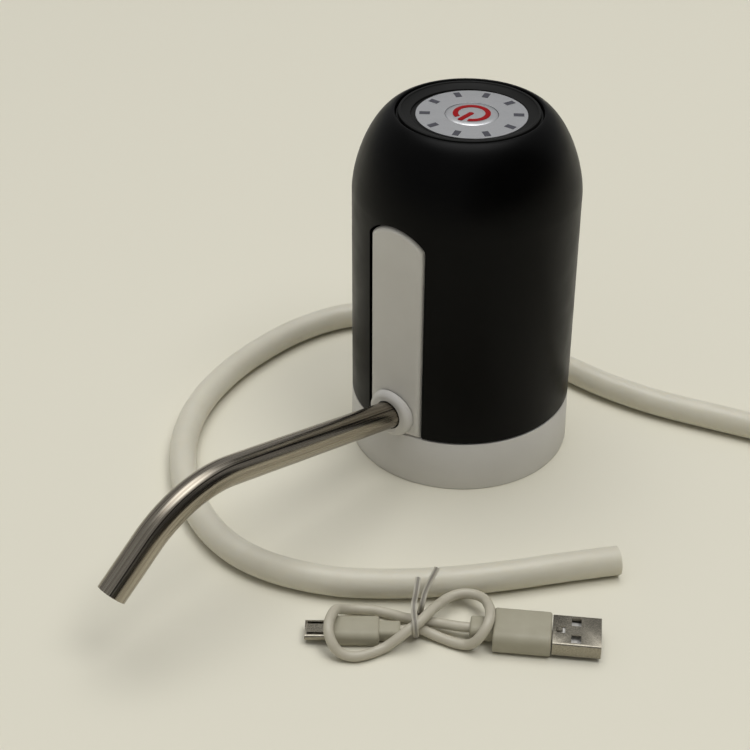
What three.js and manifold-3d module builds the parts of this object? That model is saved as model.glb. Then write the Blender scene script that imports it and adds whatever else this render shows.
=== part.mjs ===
// A bottled water pump. It sits on the neck of a large water bottle, and a motor inside drives a small
// diaphragm pump that lifts the water through a hose and out of a bent steel spout. Beside it lie the
// hose and the charging lead, as the pump is unpacked. Millimetres, +Z up: the pump stands on z = 0,
// the spout points along -Y, and the origin is the middle of the ground that pump and spout cover.

import * as THREE from "three";
import { mergeVertices } from "three/addons/utils/BufferGeometryUtils.js";
import Module from "manifold-3d";

const wasm = await Module();
wasm.setup();

// Fits and facets
const clearance = 0.3;
const overrun = 1;
const weldDistance = 0.001;
const skinSides = 40;
const roundSides = 24;
const hiddenSides = 18;
const ringSides = 14;
const smallSides = 12;
const pinSides = 10;
const wireSides = 6;

// Black housing: a slightly tapered shell with a dome, a recess on top and a tall slot in front
const seamHeight = 17.6;
const topHeight = 113.6;
const shoulderShare = 0.77729;
const wallDraft = 0.3;
const rimShare = 0.62571;
const domePower = 1.62;
const domeSteps = 8;
const housingWall = 2.2;
const recessDepth = 3.2;
const recessFloor = 1.8;
const recessLedge = 4.3;
const snapDepth = 0.45;
const snapRise = 1.5;
const snapHalfHeight = 0.6;

// White strip in the front slot
const stripHalfWidth = 9.75;
const stripCrownLift = 0;
const stripArchRadius = 12.4;
const stripCornerRadius = 2.2;
const stripSlotGap = 0.65;
const stripDepth = 3.7;
const stripLip = 2.5;
const stripArcSteps = 5;
const stripCornerSteps = 2;

// Base ring: the white foot that grips the bottle's neck, with the deck inside it
const baseRadius = 35.3;
const skirtDraft = 0.3;
const footChamfer = 0.6;
const skirtWall = 2.3;
const grooveDepth = 9;
const gripInset = 7.1;
const gripWall = 1.8;
const gripLift = 1;
const gripRibs = 8;
const ribDepth = 0.7;
const ribWidth = 1.6;
const deckUnderside = 11.2;
const deckThickness = 2;
const tongueHeight = 3.3;
const tongueWall = 1.4;
const tongueGap = 0.8;

// Suction nipple through the deck
const nippleShankRadius = 3.6;
const nippleFlangeRadius = 6;
const nippleFlangeHeight = 1.5;
const nippleBoreRadius = 1.3;
const nippleRoot = 2.6;
const nippleBarb = 3.1;
const nippleBottom = 1.5;
const nippleBarbs = 3;
const nippleRiseShare = 0.7;
const nippleEdgeShare = 0.75;
const barbShare = 0.16296;
const barbLength = 6.3;
const barbStartShare = 0.6;
const barbPeakShare = 0.62;

// Water tubes inside
const tubeShare = 0.25926;
const tubeBoreShare = 0.18519;
const tubeBendShare = 0.3268;
const tubeRise = 8;
const tubeSides = 10;
const tubeSteps = 14;

// Spout: a stainless tube that turns in its socket
const outletLift = 6.46;
const outletRise = THREE.MathUtils.degToRad(15.25);
const spoutRadius = 4.3;
const spoutWall = 0.6;
const spoutStraight = 70.4;
const spoutBendRadius = 33.7;
const spoutBend = THREE.MathUtils.degToRad(56.1);
const spoutEnd = 16.6;
const spoutTurn = THREE.MathUtils.degToRad(-6.66);
const spoutDepth = 12.3;
const spoutSides = 20;
const spoutBendSteps = 10;

// White collar and socket that hold the spout
const collarRadius = 7.86;
const collarProud = 2;
const collarRounding = 2;
const collarDepth = 3.4;
const collarSteps = 4;
const sleeveWall = 1.25;
const sleeveDepth = 8;
const socketRadius = 7;
const socketDepth = 14;
const socketStart = 3;
const socketBoreGap = 0.35;
const ringTubeRadius = 0.6;
const ringFirstDepth = 9.5;
const ringPitch = 2;
const ringGrooveHalf = 0.75;

// Chassis that stands on the deck and carries pump, cell and board
const chassisInset = 4.4;
const chassisGap = 0.43;
const chassisThickness = 2;
const legRadius = 3;
const legShare = 0.48529;
const legPilot = 8.8;
const cupWall = 1.5;
const cupHeight = 24;
const pumpRingWall = 1.5;
const pumpRingHeight = 8;
const pumpWindowShare = 0.85185;

// Screws: heads down, threads up
const headChamferShare = 0.25;
const deckHeadRadius = 2.4;
const deckHeadHeight = 1.6;
const deckShankRadius = 1.2;
const deckShankLength = 9.8;
const pumpHeadRadius = 2.1;
const pumpHeadHeight = 1.3;
const pumpShankRadius = 0.9;
const pumpShankLength = 15;
const switchHeadRadius = 2;
const switchHeadHeight = 1.2;
const switchShankRadius = 1;
const switchShankLength = 4.4;

// Diaphragm pump, on its own axis beside the centre
const pumpPlaceShare = 0.19608;
const pumpShare = 0.44118;
const coverHeight = 7;
const chamberShare = 0.65926;
const chamberDepth = 2.5;
const nozzleLength = 6.5;
const deliveryShares = [0.51852, 0.07407];
const pumpScrews = 3;
const pumpScrewShare = 0.82963;
const valveHeight = 2;
const valvePortRadius = 0.9;
const membraneHeight = 2.4;
const cups = 3;
const cupCircleShare = 0.41481;
const cupShare = 0.22222;
const cupRise = 3.2;
const cupSkin = 0.8;
const frameShare = 0.96296;
const frameHeight = 12.6;
const frameWall = 2.2;
const framePlate = 1.6;
const frameBossRadius = 2.2;
const frameBossHeight = 7;
const wobbleShare = 0.53333;
const wobbleThickness = 1.4;
const wobbleTilt = THREE.MathUtils.degToRad(5);
const wobbleLift = 1;
const stemRadius = 1;
const stemLength = 3;
const eccentricShare = 0.37037;
const eccentricHeight = 3;
const eccentricLift = 7.2;
const eccentricRecessShare = 0.6;
const eccentricRecess = 2;

// Motor
const canShare = 0.9037;
const canWall = 0.8;
const canHeightShare = 0.39106;
const shaftRadius = 1;
const capHeight = 4;
const capSpigot = 1.5;
const bearingDepth = 3;
const armatureShare = 0.77049;
const armatureHeightShare = 0.71429;
const armatureLiftShare = 0.14286;
const armatureSlots = 5;
const armatureSlotWidth = 1.6;
const armatureSlotShare = 0.53191;
const magnetShare = 0.81148;
const magnetHalfAngle = THREE.MathUtils.degToRad(68);
const magnetSteps = 8;

// Rechargeable cell
const cellPlaceShares = [-0.60458, 0.09804];
const cellShare = 0.29739;
const cellLengthShare = 0.90782;
const cellGap = 0.4;
const cellButtonRadius = 2.8;
const cellButtonHeight = 0.8;
const cellEdge = 0.6;

// Control board, its guides and the charging socket
const boardWidthShare = 0.39216;
const boardPlaceShare = 0.82353;
const boardThickness = 1.6;
const boardHeight = 27.7;
const chipSize = 7;
const chipHeight = 1.2;
const chipRise = 12;
const chipPitch = 9;
const guideGrip = 1.2;
const guideWall = 2.2;
const guideHalfDepth = 1.9;
const guideHeight = 18;
const portRise = 6;
const portWidth = 7.6;
const portThickness = 2.7;
const portDepth = 6;
const portWall = 0.4;
const portOpeningWidth = 8.4;
const portOpeningHeight = 3.6;
const portPocketWidth = 12;
const portPocketHeight = 8;
const portPocketDepth = 1;

// Top: bezel, dial, button and what the button presses
const bezelRimDrop = 0.1;
const bezelBand = 1.5;
const bezelFloor = 1.3;
const bezelLand = 5.1;
const bezelInnerDrop = 1.1;
const postRadius = 2.2;
const postPlaceShare = 0.52968;
const postLength = 5.6;
const postPilot = 4;
const buttonShare = 0.46429;
const keyDrop = 0.6;
const keyFlange = 1.1;
const keyHeight = 2.7;
const keyFlangeHeight = 1.1;
const dialThickness = 0.6;
const lensEdge = 0.7;
const lensRise = 0.2;
const lensSteps = 3;
const switchBoardShare = 0.64841;
const switchBoardThickness = 1.2;
const tactSize = 6;
const tactHeight = 3.2;
const tactFloor = 0.6;
const plungerRadius = 1.7;
const plungerLength = 2.9;
const ledPlace = 5.2;
const ledSize = 1.6;
const ledHeight = 1.2;

// Leads inside
const leadRadius = 0.8;
const leadSteps = 14;
const leadLift = 1.2;
const motorRedPadShare = -0.46667;
const motorBlackPadShare = 0.61667;
const cellRedPadShare = -0.66667;
const cellBlackPadShare = -0.88333;
const upperPadShare = 0.93;
const lowerPadShare = 0.84;
const tabAngle = THREE.MathUtils.degToRad(50);
const tabLift = 10;
const ribbonWidth = 6;
const ribbonThickness = 0.5;
const ribbonSteps = 8;

// Hose and charging lead
const hoseRadius = 4.3;
const hoseBoreRadius = 3;
const hoseSides = 8;
const hoseSteps = 46;
const cableRadius = 1.45;
const cableSides = 8;
const cableSteps = 80;
const tieRadius = 0.6;
const tieSteps = 34;
const tiePitch = 1.8;

// Plugs on the charging lead
const plugAHeight = 3.5;
const plugAWidth = 12;
const plugAThickness = 4.5;
const plugALength = 13.4;
const plugAWall = 0.35;
const plugATongue = 1.8;
const plugAHole = 2.5;
const plugAHolePlace = 6.5;
const plugAHoleSpread = 3.3;
const plugAGripLength = 16.1;
const plugAGripWidth = 13.4;
const plugAGripThickness = 7;
const plugAStepLength = 5.9;
const plugAStepWidth = 6.8;
const plugAStepThickness = 4.8;
const plugACorner = 2.4;
const microHeight = 2.5;
const microWidth = 6.85;
const microThickness = 1.8;
const microLength = 6.8;
const microWall = 0.3;
const microGripLength = 13.7;
const microGripWidth = 9;
const microGripThickness = 5;
const microStepLength = 5.4;
const microStepWidth = 5.6;
const microStepThickness = 3.8;
const microCorner = 1.9;
const microRootShare = 0.333;
const gripEdge = 0.7;
const cornerSteps = 3;

// How the distance from a cord to itself is looked for
const gapSamples = 600;
const gapReachShare = 6;

// Radii and heights that follow from the sizes above
const seamRadius = baseRadius - skirtDraft;
const shoulderRadius = seamRadius - wallDraft;
const shoulderHeight = topHeight * shoulderShare;
const rimRadius = seamRadius * rimShare;
const recessHoleRadius = rimRadius - recessLedge;
const stripCrown = shoulderHeight + stripCrownLift;
const gripRadius = baseRadius - gripInset;
const outletHeight = seamHeight + outletLift;
const chassisRadius = seamRadius - chassisInset;
const legPlace = chassisRadius * legShare;
const pumpX = chassisRadius * pumpPlaceShare;
const pumpRadius = chassisRadius * pumpShare;
const barbRadius = pumpRadius * barbShare;
const tubeRadius = pumpRadius * tubeShare;
const tubeBoreRadius = pumpRadius * tubeBoreShare;
const tubeBend = chassisRadius * tubeBendShare;
const pumpWindowRadius = pumpRadius * pumpWindowShare;
const chamberRadius = pumpRadius * chamberShare;
const [deliveryX, deliveryY] = deliveryShares.map((share) => pumpRadius * share);
const pumpScrewCircle = pumpRadius * pumpScrewShare;
const cupCircle = pumpRadius * cupCircleShare;
const cupRadius = pumpRadius * cupShare;
const frameRadius = pumpRadius * frameShare;
const wobbleRadius = pumpRadius * wobbleShare;
const eccentricRadius = pumpRadius * eccentricShare;
const eccentricRecessRadius = eccentricRadius * eccentricRecessShare;
const canRadius = pumpRadius * canShare;
const armatureRadius = canRadius * armatureShare;
const armatureSlotDepth = armatureRadius * armatureSlotShare;
const magnetInner = canRadius * magnetShare;
const [cellX, cellY] = cellPlaceShares.map((share) => chassisRadius * share);
const cellRadius = chassisRadius * cellShare;
const boardHalfWidth = chassisRadius * boardWidthShare;
const boardY = chassisRadius * boardPlaceShare;
const bezelInnerRadius = rimRadius - bezelLand;
const buttonRadius = bezelInnerRadius * buttonShare;
const postPlace = rimRadius * postPlaceShare;
const switchBoardRadius = rimRadius * switchBoardShare;

// Places that several pieces share
const baseTop = seamHeight - clearance;
const deckTop = deckUnderside + deckThickness;
const recessTop = topHeight - recessDepth;
const collarFront = seamRadius + collarProud;
const socketTop = outletHeight + socketRadius / Math.cos(outletRise);
const chassisFront = (collarFront - chassisRadius) * Math.tan(outletRise);
const chassisHeight = socketTop - chassisFront + chassisGap;
const chassisTop = chassisHeight + chassisThickness;
const switchBoardTop = recessTop - postLength;
const switchBoardBottom = switchBoardTop - switchBoardThickness;
const innerRoom = switchBoardBottom - chassisTop;
const cellLength = innerRoom * cellLengthShare;
const canHeight = innerRoom * canHeightShare;
const armatureHeight = canHeight * armatureHeightShare;
const armatureLift = canHeight * armatureLiftShare;
const portHeight = chassisTop + portRise;
const boreRadius = spoutRadius + socketBoreGap;
const coverTop = chassisTop + coverHeight;
const membraneBottom = coverTop + valveHeight;
const frameBottom = membraneBottom + membraneHeight;
const canBottom = frameBottom + frameHeight;
const capBottom = canBottom + canHeight;
const bezelTop = topHeight - bezelRimDrop;
const dialSeat = recessTop + bezelFloor;
const keyTop = dialSeat + dialThickness - keyDrop;
const keyBottom = keyTop - keyHeight;
const outletAlong = new THREE.Vector3(0, -Math.cos(outletRise), Math.sin(outletRise));

// The routes of the hose and of the lead, seen from above and from the pump's own axis
const hoseRoute = [
  [80.7, -28.7], [70.4, -41.4], [59.2, -55.6], [49.2, -66.9], [37.0, -78.6], [24.6, -88.0],
  [12.9, -93.7], [3.0, -96.6], [-7.0, -97.5], [-18.0, -95.9], [-29.2, -91.8], [-40.2, -85.9],
  [-50.0, -78.0], [-58.8, -68.8], [-65.4, -59.0], [-69.8, -50.0], [-73.6, -38.3], [-76.3, -19.7],
  [-74.8, 4.5], [-67.8, 22.6], [-55.6, 34.0], [-39.4, 41.2], [-21.0, 44.8], [-3.5, 45.6],
  [14.5, 45.3], [26.0, 45.0], [33.8, 45.5], [44.7, 47.0], [54.8, 49.4], [77.3, 55.9],
  [93.0, 60.4], [111.0, 63.0], [129.0, 62.0], [146.0, 55.0], [159.0, 43.0], [167.0, 27.0],
  [169.0, 9.0], [165.0, -8.0],
];
const cableRoute = [
  [49.4, -91.1, 2.6], [51.5, -89.2, 2.9], [53.6, -87.4, 2.9], [56, -86.3, 2.2],
  [58.7, -85.5, 1.7], [61.4, -84.9, 1.6], [64.1, -84.2, 1.6], [66.7, -83.3, 2.1],
  [68.8, -82.6, 3.8], [69.9, -81.2, 5.9], [70.1, -79, 7.6], [69.3, -76.5, 8.5],
  [67.7, -74.2, 8.4], [66, -72.1, 7.6], [64.1, -70.3, 6.6], [62, -68.7, 5.8],
  [59.4, -67.9, 5.1], [56.7, -68.4, 4.8], [54.4, -70, 4.6], [53, -72.4, 4.4],
  [52.5, -75.1, 4.6], [52.6, -77.9, 5], [53, -80.6, 5.7], [53.4, -83.3, 6.2],
  [53.7, -86.1, 6.3], [53.8, -88.9, 6.2], [53.2, -91.6, 5.8], [52.4, -94, 4.7],
  [51.3, -96.2, 3.3], [50.1, -98.4, 2.1], [48.9, -100.9, 1.6], [47.7, -103.5, 1.6],
  [46.2, -105.8, 1.6], [44, -107.5, 1.8], [41.7, -108.6, 2.9], [39.7, -108.8, 4.8],
  [37.7, -107.9, 6.5], [35.9, -105.9, 7.4], [34.5, -103.5, 7.3], [33.3, -101.1, 6.8],
  [32.4, -98.6, 5.8], [32.2, -96.3, 4.1], [32.6, -94, 2.7], [33.9, -91.7, 1.8],
  [36, -89.9, 1.6], [38.4, -88.4, 1.6], [41, -87.4, 1.6], [43.7, -86.5, 1.8],
  [46.4, -86, 2.1], [49.1, -85.5, 2.7], [51.7, -84.6, 3], [54.1, -83.1, 2.8],
  [56.6, -81.8, 2.9], [59.2, -80.9, 3.2], [61.8, -79.8, 3.4], [64.2, -78.4, 3.5],
];
const plugAPlace = [83.39, -66.02];
const plugATurn = THREE.MathUtils.degToRad(32.75);
const microPlace = [34.1, -103.7];
const microTurn = THREE.MathUtils.degToRad(39.2);
const tieCentre = [52.15, -87.02];
const tieTurn = THREE.MathUtils.degToRad(39.95);
const tieStrands = [[-3.4, 6.4], [-1.0, 3.1], [2.4, 3.1]];
const tieTails = [
  [[0.4, 8.8, 13.2], [-0.3, 5.0, 10.9], [-0.9, 2.6, 8.9]],
  [[1.3, 2.9, 8.0], [2.4, 6.0, 10.6], [5.7, 10.9, 15.0]],
];

// Leads inside: the middle of each route, as shares of the chassis radius across and to the back, and
// upwards as shares of the way from the lead's end on the board to its start
const motorRedShares = [[-0.0327, 0.2614, 1.05], [-0.1634, 0.5229, 0.8578], [-0.183, 0.7059, 0.3948]];
const motorBlackShares = [[0.4248, 0.2614, 1.05], [0.3268, 0.5229, 0.8578], [0.2418, 0.7059, 0.3948]];
const cellRedShares = [[-0.5556, 0.3431, 1.0815], [-0.4248, 0.5719, 0.8394], [-0.281, 0.7124, 0.4062]];
const cellBlackShares = [[-0.3987, 0.3856, 0.7124], [-0.366, 0.5392, 0.4727], [-0.3464, 0.6928, 0.3768]];

// A closed geometry as a solid that can be joined and cut
function solid(geometry) {
  const bare = geometry.index ? geometry.toNonIndexed() : geometry.clone();
  bare.deleteAttribute("normal");
  bare.deleteAttribute("uv");
  const merged = mergeVertices(bare, weldDistance);
  const corners = merged.index.array;
  const kept = [];
  for (let i = 0; i < corners.length; i += 3) {
    const [a, b, c] = corners.slice(i, i + 3);
    if (a !== b && b !== c && c !== a) kept.push(a, b, c);
  }
  const triVerts = new Uint32Array(kept);
  const vertProperties = merged.attributes.position.array;
  return new wasm.Manifold(new wasm.Mesh({ numProp: 3, vertProperties, triVerts }));
}

// A solid as a geometry that can be drawn
function surface(made) {
  const { vertProperties, triVerts } = made.getMesh();
  const geometry = new THREE.BufferGeometry();
  geometry.setAttribute("position", new THREE.BufferAttribute(vertProperties, 3));
  geometry.setIndex(new THREE.BufferAttribute(triVerts, 1));
  geometry.computeVertexNormals();
  return geometry;
}

function joined(first, ...others) {
  return others.reduce((whole, other) => whole.add(other), first);
}

function without(first, ...others) {
  return others.reduce((whole, other) => whole.subtract(other), first);
}

// A revolve about Z of an outline of [radius, height] points that climbs on its outer side
function turned(outline, sides) {
  const points = outline.map(([r, z]) => new THREE.Vector2(r, z));
  if (outline[0][0] !== 0) points.push(points[0].clone());
  return new THREE.LatheGeometry(points, sides).rotateX(Math.PI / 2);
}

function rod(radius, bottom, top, sides = pinSides, x = 0, y = 0) {
  const geometry = new THREE.CylinderGeometry(radius, radius, top - bottom, sides);
  return solid(geometry.rotateX(Math.PI / 2).translate(x, y, (bottom + top) / 2));
}

function block([x0, x1], [y0, y1], [z0, z1]) {
  const geometry = new THREE.BoxGeometry(x1 - x0, y1 - y0, z1 - z0);
  return solid(geometry.translate((x0 + x1) / 2, (y0 + y1) / 2, (z0 + z1) / 2));
}

// Points of a circular arc, ends included
function arc(x, y, radius, from, to, steps) {
  return Array.from({ length: steps + 1 }, (_, i) => {
    const angle = from + ((to - from) * i) / steps;
    return [x + radius * Math.cos(angle), y + radius * Math.sin(angle)];
  });
}

function around(count, radius, start = 0) {
  const turn = (2 * Math.PI) / count;
  return arc(0, 0, radius, start, start + turn * (count - 1), count - 1);
}

function shapeOf(points) {
  return new THREE.Shape(points.map(([x, y]) => new THREE.Vector2(x, y)));
}

// A round section, with a bore where an inner radius is given
function ringSection(outer, inner, sides) {
  const section = shapeOf(around(sides, outer));
  if (inner > 0) section.holes.push(shapeOf(around(sides, inner)));
  return section;
}

function tubeAlong(curve, section, steps) {
  return new THREE.ExtrudeGeometry(section, { steps, bevelEnabled: false, extrudePath: curve });
}

function curveThrough(points) {
  return new THREE.CatmullRomCurve3(points.map((p) => new THREE.Vector3(...p)));
}

// A path with a ring of the tube at each of its stations and nowhere else
class StationPath extends THREE.Curve {
  constructor(stations) {
    super();
    this.stations = stations;
  }
  stationAt(t) {
    return this.stations[Math.round(t * (this.stations.length - 1))];
  }
  getUtoTmapping(u) {
    return u;
  }
  getPoint(t) {
    return this.stationAt(t).place.clone();
  }
  getTangent(t) {
    return this.stationAt(t).along.clone();
  }
}

function finish(colour, roughness, metalness = 0) {
  return new THREE.MeshStandardMaterial({ color: colour, roughness, metalness });
}

const blackPlastic = finish("#1d1b1c", 0.35);
const satinBlack = finish("#242223", 0.5);
const whitePlastic = finish("#ecebe6", 0.4);
const brushedSteel = finish("#c3c4c2", 0.3, 1);
const dialSilver = finish("#c9c9c6", 0.35, 0.9);
const clearCover = finish("#e9e6e3", 0.1);
const plainSteel = finish("#a9a9a6", 0.35, 1);
const greyPlastic = finish("#8b8d8e", 0.5);
const greyRubber = finish("#6d6c69", 0.8);
const siliconeTube = finish("#dfe2e0", 0.35);
const boardGreen = finish("#1f6b45", 0.5);
const cellBlue = finish("#2f5f9a", 0.4);
const copper = finish("#a8623a", 0.4, 1);
const ferrite = finish("#3c3a38", 0.7);
const redLead = finish("#b3342c", 0.45);
const darkLead = finish("#2a2a2a", 0.45);
const leadCover = finish("#d6d0c4", 0.5);
const hoseClear = finish("#dcdad2", 0.2);
const tieGrey = finish("#b9b6b0", 0.6);

function addPiece(parent, name, shape, material, [x, y, z] = [0, 0, 0]) {
  const mesh = new THREE.Mesh(shape.isBufferGeometry ? shape : surface(shape), material);
  mesh.name = name;
  mesh.position.set(x, y, z);
  parent.add(mesh);
  return mesh;
}

// The dome's profile from shoulder to rim, for a skin set in by some thickness
function domeProfile(inset, steps) {
  const rim = rimRadius + inset;
  const shoulder = shoulderRadius - inset;
  const rise = topHeight - inset - shoulderHeight;
  return Array.from({ length: steps + 1 }, (_, i) => {
    const angle = (Math.PI / 2) * (i / steps);
    const across = i === steps ? 0 : Math.cos(angle) ** (2 / domePower);
    return [rim + (shoulder - rim) * across, shoulderHeight + rise * Math.sin(angle) ** (2 / domePower)];
  });
}

// The inside of the housing's outer skin as a full solid, set in by some thickness
function skinCore(inset) {
  const dome = domeProfile(inset, domeSteps);
  const low = seamHeight;
  return solid(turned([[0, low], [seamRadius - inset, low], ...dome, [0, topHeight - inset]], skinSides));
}

// The strip's outline in front view, grown by some gap, as a block that runs through the front wall
function stripBlock(grow, bottom) {
  const archZ = stripCrown - stripArchRadius;
  const cornerX = stripHalfWidth - stripCornerRadius;
  const cornerZ = archZ + Math.sqrt((stripArchRadius - stripCornerRadius) ** 2 - cornerX ** 2);
  const lean = Math.atan2(cornerZ - archZ, cornerX);
  const side = stripHalfWidth + grow;
  const corner = stripCornerRadius + grow;
  const outline = [
    [-side, bottom],
    [side, bottom],
    ...arc(cornerX, cornerZ, corner, 0, lean, stripCornerSteps),
    ...arc(0, archZ, stripArchRadius + grow, lean, Math.PI - lean, stripArcSteps).slice(1, -1),
    ...arc(-cornerX, cornerZ, corner, Math.PI - lean, Math.PI, stripCornerSteps),
  ];
  const depth = seamRadius + overrun;
  const geometry = new THREE.ExtrudeGeometry(shapeOf(outline), { depth, bevelEnabled: false });
  return solid(geometry.rotateX(Math.PI / 2));
}

// The snap bead that holds the housing on the base ring, as outline points up a wall of some radius
function snapBead(radius) {
  const middle = seamHeight + snapRise;
  return [
    [radius, middle - snapHalfHeight],
    [radius + snapDepth, middle],
    [radius, middle + snapHalfHeight],
  ];
}

function upperHousing() {
  const innerSeam = seamRadius - housingWall;
  const collar = rimRadius + housingWall;
  const shell = turned([
    [seamRadius, seamHeight],
    ...domeProfile(0, domeSteps),
    [rimRadius, recessTop],
    [recessHoleRadius, recessTop],
    [recessHoleRadius, recessTop - recessFloor],
    [collar, recessTop - recessFloor],
    ...domeProfile(housingWall, domeSteps / 2).reverse(),
    ...snapBead(innerSeam).reverse(),
    [innerSeam, seamHeight],
  ], skinSides);
  const behind = seamRadius + overrun;
  const opening = block(
    [-portOpeningWidth / 2, portOpeningWidth / 2],
    [boardY, behind],
    [portHeight - portOpeningHeight / 2, portHeight + portOpeningHeight / 2],
  );
  const pocket = block(
    [-portPocketWidth / 2, portPocketWidth / 2],
    [seamRadius - portPocketDepth, behind],
    [portHeight - portPocketHeight / 2, portHeight + portPocketHeight / 2],
  );
  return without(solid(shell), stripBlock(stripSlotGap, seamHeight - overrun), opening, pocket);
}

function frontPanel() {
  const inside = skinCore(stripDepth);
  const face = without(stripBlock(0, seamHeight).intersect(skinCore(0)), inside);
  const behindWall = skinCore(housingWall + clearance);
  const lip = without(stripBlock(stripLip, seamHeight).intersect(behindWall), inside);
  const notchRadius = boreRadius + sleeveWall + clearance;
  const reach = [-seamRadius - overrun, 0];
  const notch = joined(
    rod(notchRadius, 0, seamRadius + overrun, roundSides).rotate([90, 0, 0]).translate([0, 0, outletHeight]),
    block([-notchRadius, notchRadius], reach, [seamHeight - overrun, outletHeight]),
  );
  return without(joined(face, lip), notch);
}

function baseRing() {
  const tongueOuter = seamRadius - housingWall - clearance;
  const tongueInner = tongueOuter - tongueWall;
  const tongueTop = baseTop + tongueHeight;
  const gripOuter = gripRadius + gripWall;
  const skirtInner = baseRadius - skirtWall;
  const holeRadius = nippleShankRadius + clearance;
  const body = solid(turned([
    [baseRadius - footChamfer, 0],
    [baseRadius, footChamfer],
    [seamRadius, baseTop],
    [tongueOuter, baseTop],
    ...snapBead(tongueOuter),
    [tongueOuter, tongueTop],
    [tongueInner, tongueTop],
    [tongueInner, deckTop],
    [holeRadius, deckTop],
    [holeRadius, deckUnderside],
    [gripRadius, deckUnderside],
    [gripRadius, gripLift],
    [gripOuter, gripLift],
    [gripOuter, grooveDepth],
    [skirtInner, grooveDepth],
    [skirtInner, 0],
  ], skinSides));
  const ribs = Array.from({ length: gripRibs }, (_, i) =>
    block(
      [gripRadius - ribDepth, gripRadius + gripWall / 2],
      [-ribWidth / 2, ribWidth / 2],
      [2 * gripLift, deckUnderside + deckThickness / 2],
    ).rotate([0, 0, (360 * (i + 0.5)) / gripRibs]));
  const half = stripHalfWidth + stripLip + tongueGap;
  const gap = block([-half, half], [-seamRadius, -tongueInner / 2], [baseTop, tongueTop + overrun]);
  const holes = legCorners().map(([x, y]) =>
    rod(deckShankRadius + clearance, deckUnderside - overrun, deckTop + overrun, pinSides, x, y));
  return without(joined(body, ...ribs), gap, ...holes);
}

function legCorners() {
  return [[1, 1], [-1, 1], [-1, -1], [1, -1]].map(([x, y]) => [x * legPlace, y * legPlace]);
}

// A fastener with its head below z = 0 and its shank above
function screw(headRadius, headHeight, shankRadius, shankLength) {
  return turned([
    [0, -headHeight],
    [headRadius - headHeight * headChamferShare, -headHeight],
    [headRadius, -headHeight * (1 - headChamferShare)],
    [headRadius, 0],
    [shankRadius, 0],
    [shankRadius, shankLength - shankRadius],
    [0, shankLength],
  ], pinSides);
}

function inletNipple() {
  const pitch = (deckUnderside - nippleBottom) / (nippleBarbs + 1);
  const barbs = Array.from({ length: nippleBarbs }, (_, i) => [
    [nippleRoot, nippleBottom + pitch * i],
    [nippleBarb, nippleBottom + pitch * (i + nippleRiseShare)],
    [nippleRoot, nippleBottom + pitch * (i + nippleEdgeShare)],
  ]).flat();
  const flangeTop = deckTop + nippleFlangeHeight;
  return turned([
    [nippleBoreRadius, nippleBottom],
    ...barbs,
    [nippleRoot, deckUnderside],
    [nippleShankRadius, deckUnderside],
    [nippleShankRadius, deckTop],
    [nippleFlangeRadius, deckTop],
    [nippleFlangeRadius, flangeTop],
    [barbRadius - clearance, flangeTop],
    [barbRadius - clearance, flangeTop + barbLength * barbStartShare],
    [barbRadius, flangeTop + barbLength * barbPeakShare],
    [nippleBoreRadius + clearance, flangeTop + barbLength],
    [nippleBoreRadius, flangeTop + barbLength],
  ], smallSides);
}

// From the spout's own frame, Z outward along the tube from the collar's face, to the pump's
function outletMatrix() {
  const matrix = new THREE.Matrix4().makeRotationX(Math.PI / 2 - outletRise);
  return matrix.setPosition(0, -collarFront, outletHeight);
}

function outletSocket() {
  const level = new THREE.Matrix4().makeRotationX(Math.PI / 2).setPosition(0, -collarFront, outletHeight);
  const flangeOutline = [
    [0, -collarDepth],
    [collarRadius, -collarDepth],
    ...arc(collarRadius - collarRounding, -collarRounding, collarRounding, 0, Math.PI / 2, collarSteps),
    [0, 0],
  ];
  const flange = solid(turned(flangeOutline, roundSides).applyMatrix4(level));
  const curvedBack = rod(seamRadius + clearance, 0, topHeight, skinSides);
  const sleeveRadius = boreRadius + sleeveWall;
  const sleeveFront = -collarProud / 2;
  const sleeveOutline = [
    [0, -sleeveDepth],
    [sleeveRadius, -sleeveDepth],
    [sleeveRadius, sleeveFront],
    [0, sleeveFront],
  ];
  const sleeve = solid(turned(sleeveOutline, roundSides).applyMatrix4(level));
  const inner = seamRadius - stripDepth - 2 * clearance;
  const tip = socketDepth + barbLength;
  const body = solid(turned([
    [0, -tip],
    [nippleBoreRadius + clearance, -tip],
    [barbRadius, -socketDepth - barbLength * barbPeakShare],
    [barbRadius - clearance, -socketDepth - barbLength * barbStartShare],
    [barbRadius - clearance, -socketDepth],
    [socketRadius, -socketDepth],
    [socketRadius, -socketStart],
    [0, -socketStart],
  ], roundSides).applyMatrix4(outletMatrix())).intersect(rod(inner, 0, topHeight, skinSides));
  const grooveFloor = boreRadius + 2 * ringTubeRadius + clearance / 2;
  const grooves = ringDepths().flatMap((depth) => [
    [boreRadius, -depth - ringGrooveHalf],
    [grooveFloor, -depth - ringGrooveHalf],
    [grooveFloor, -depth + ringGrooveHalf],
    [boreRadius, -depth + ringGrooveHalf],
  ]);
  const bore = solid(turned([
    [0, -tip - overrun],
    [nippleBoreRadius, -tip - overrun],
    [nippleBoreRadius, -spoutDepth - clearance],
    [boreRadius, -spoutDepth - clearance],
    ...grooves,
    [boreRadius, collarRadius],
    [0, collarRadius],
  ], roundSides).applyMatrix4(outletMatrix()));
  return without(joined(without(flange, curvedBack), sleeve, body), bore);
}

function ringDepths() {
  return [ringFirstDepth + ringPitch, ringFirstDepth];
}

function sealRing() {
  const radius = boreRadius + ringTubeRadius;
  return new THREE.TorusGeometry(radius, ringTubeRadius, wireSides, ringSides);
}

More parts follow.
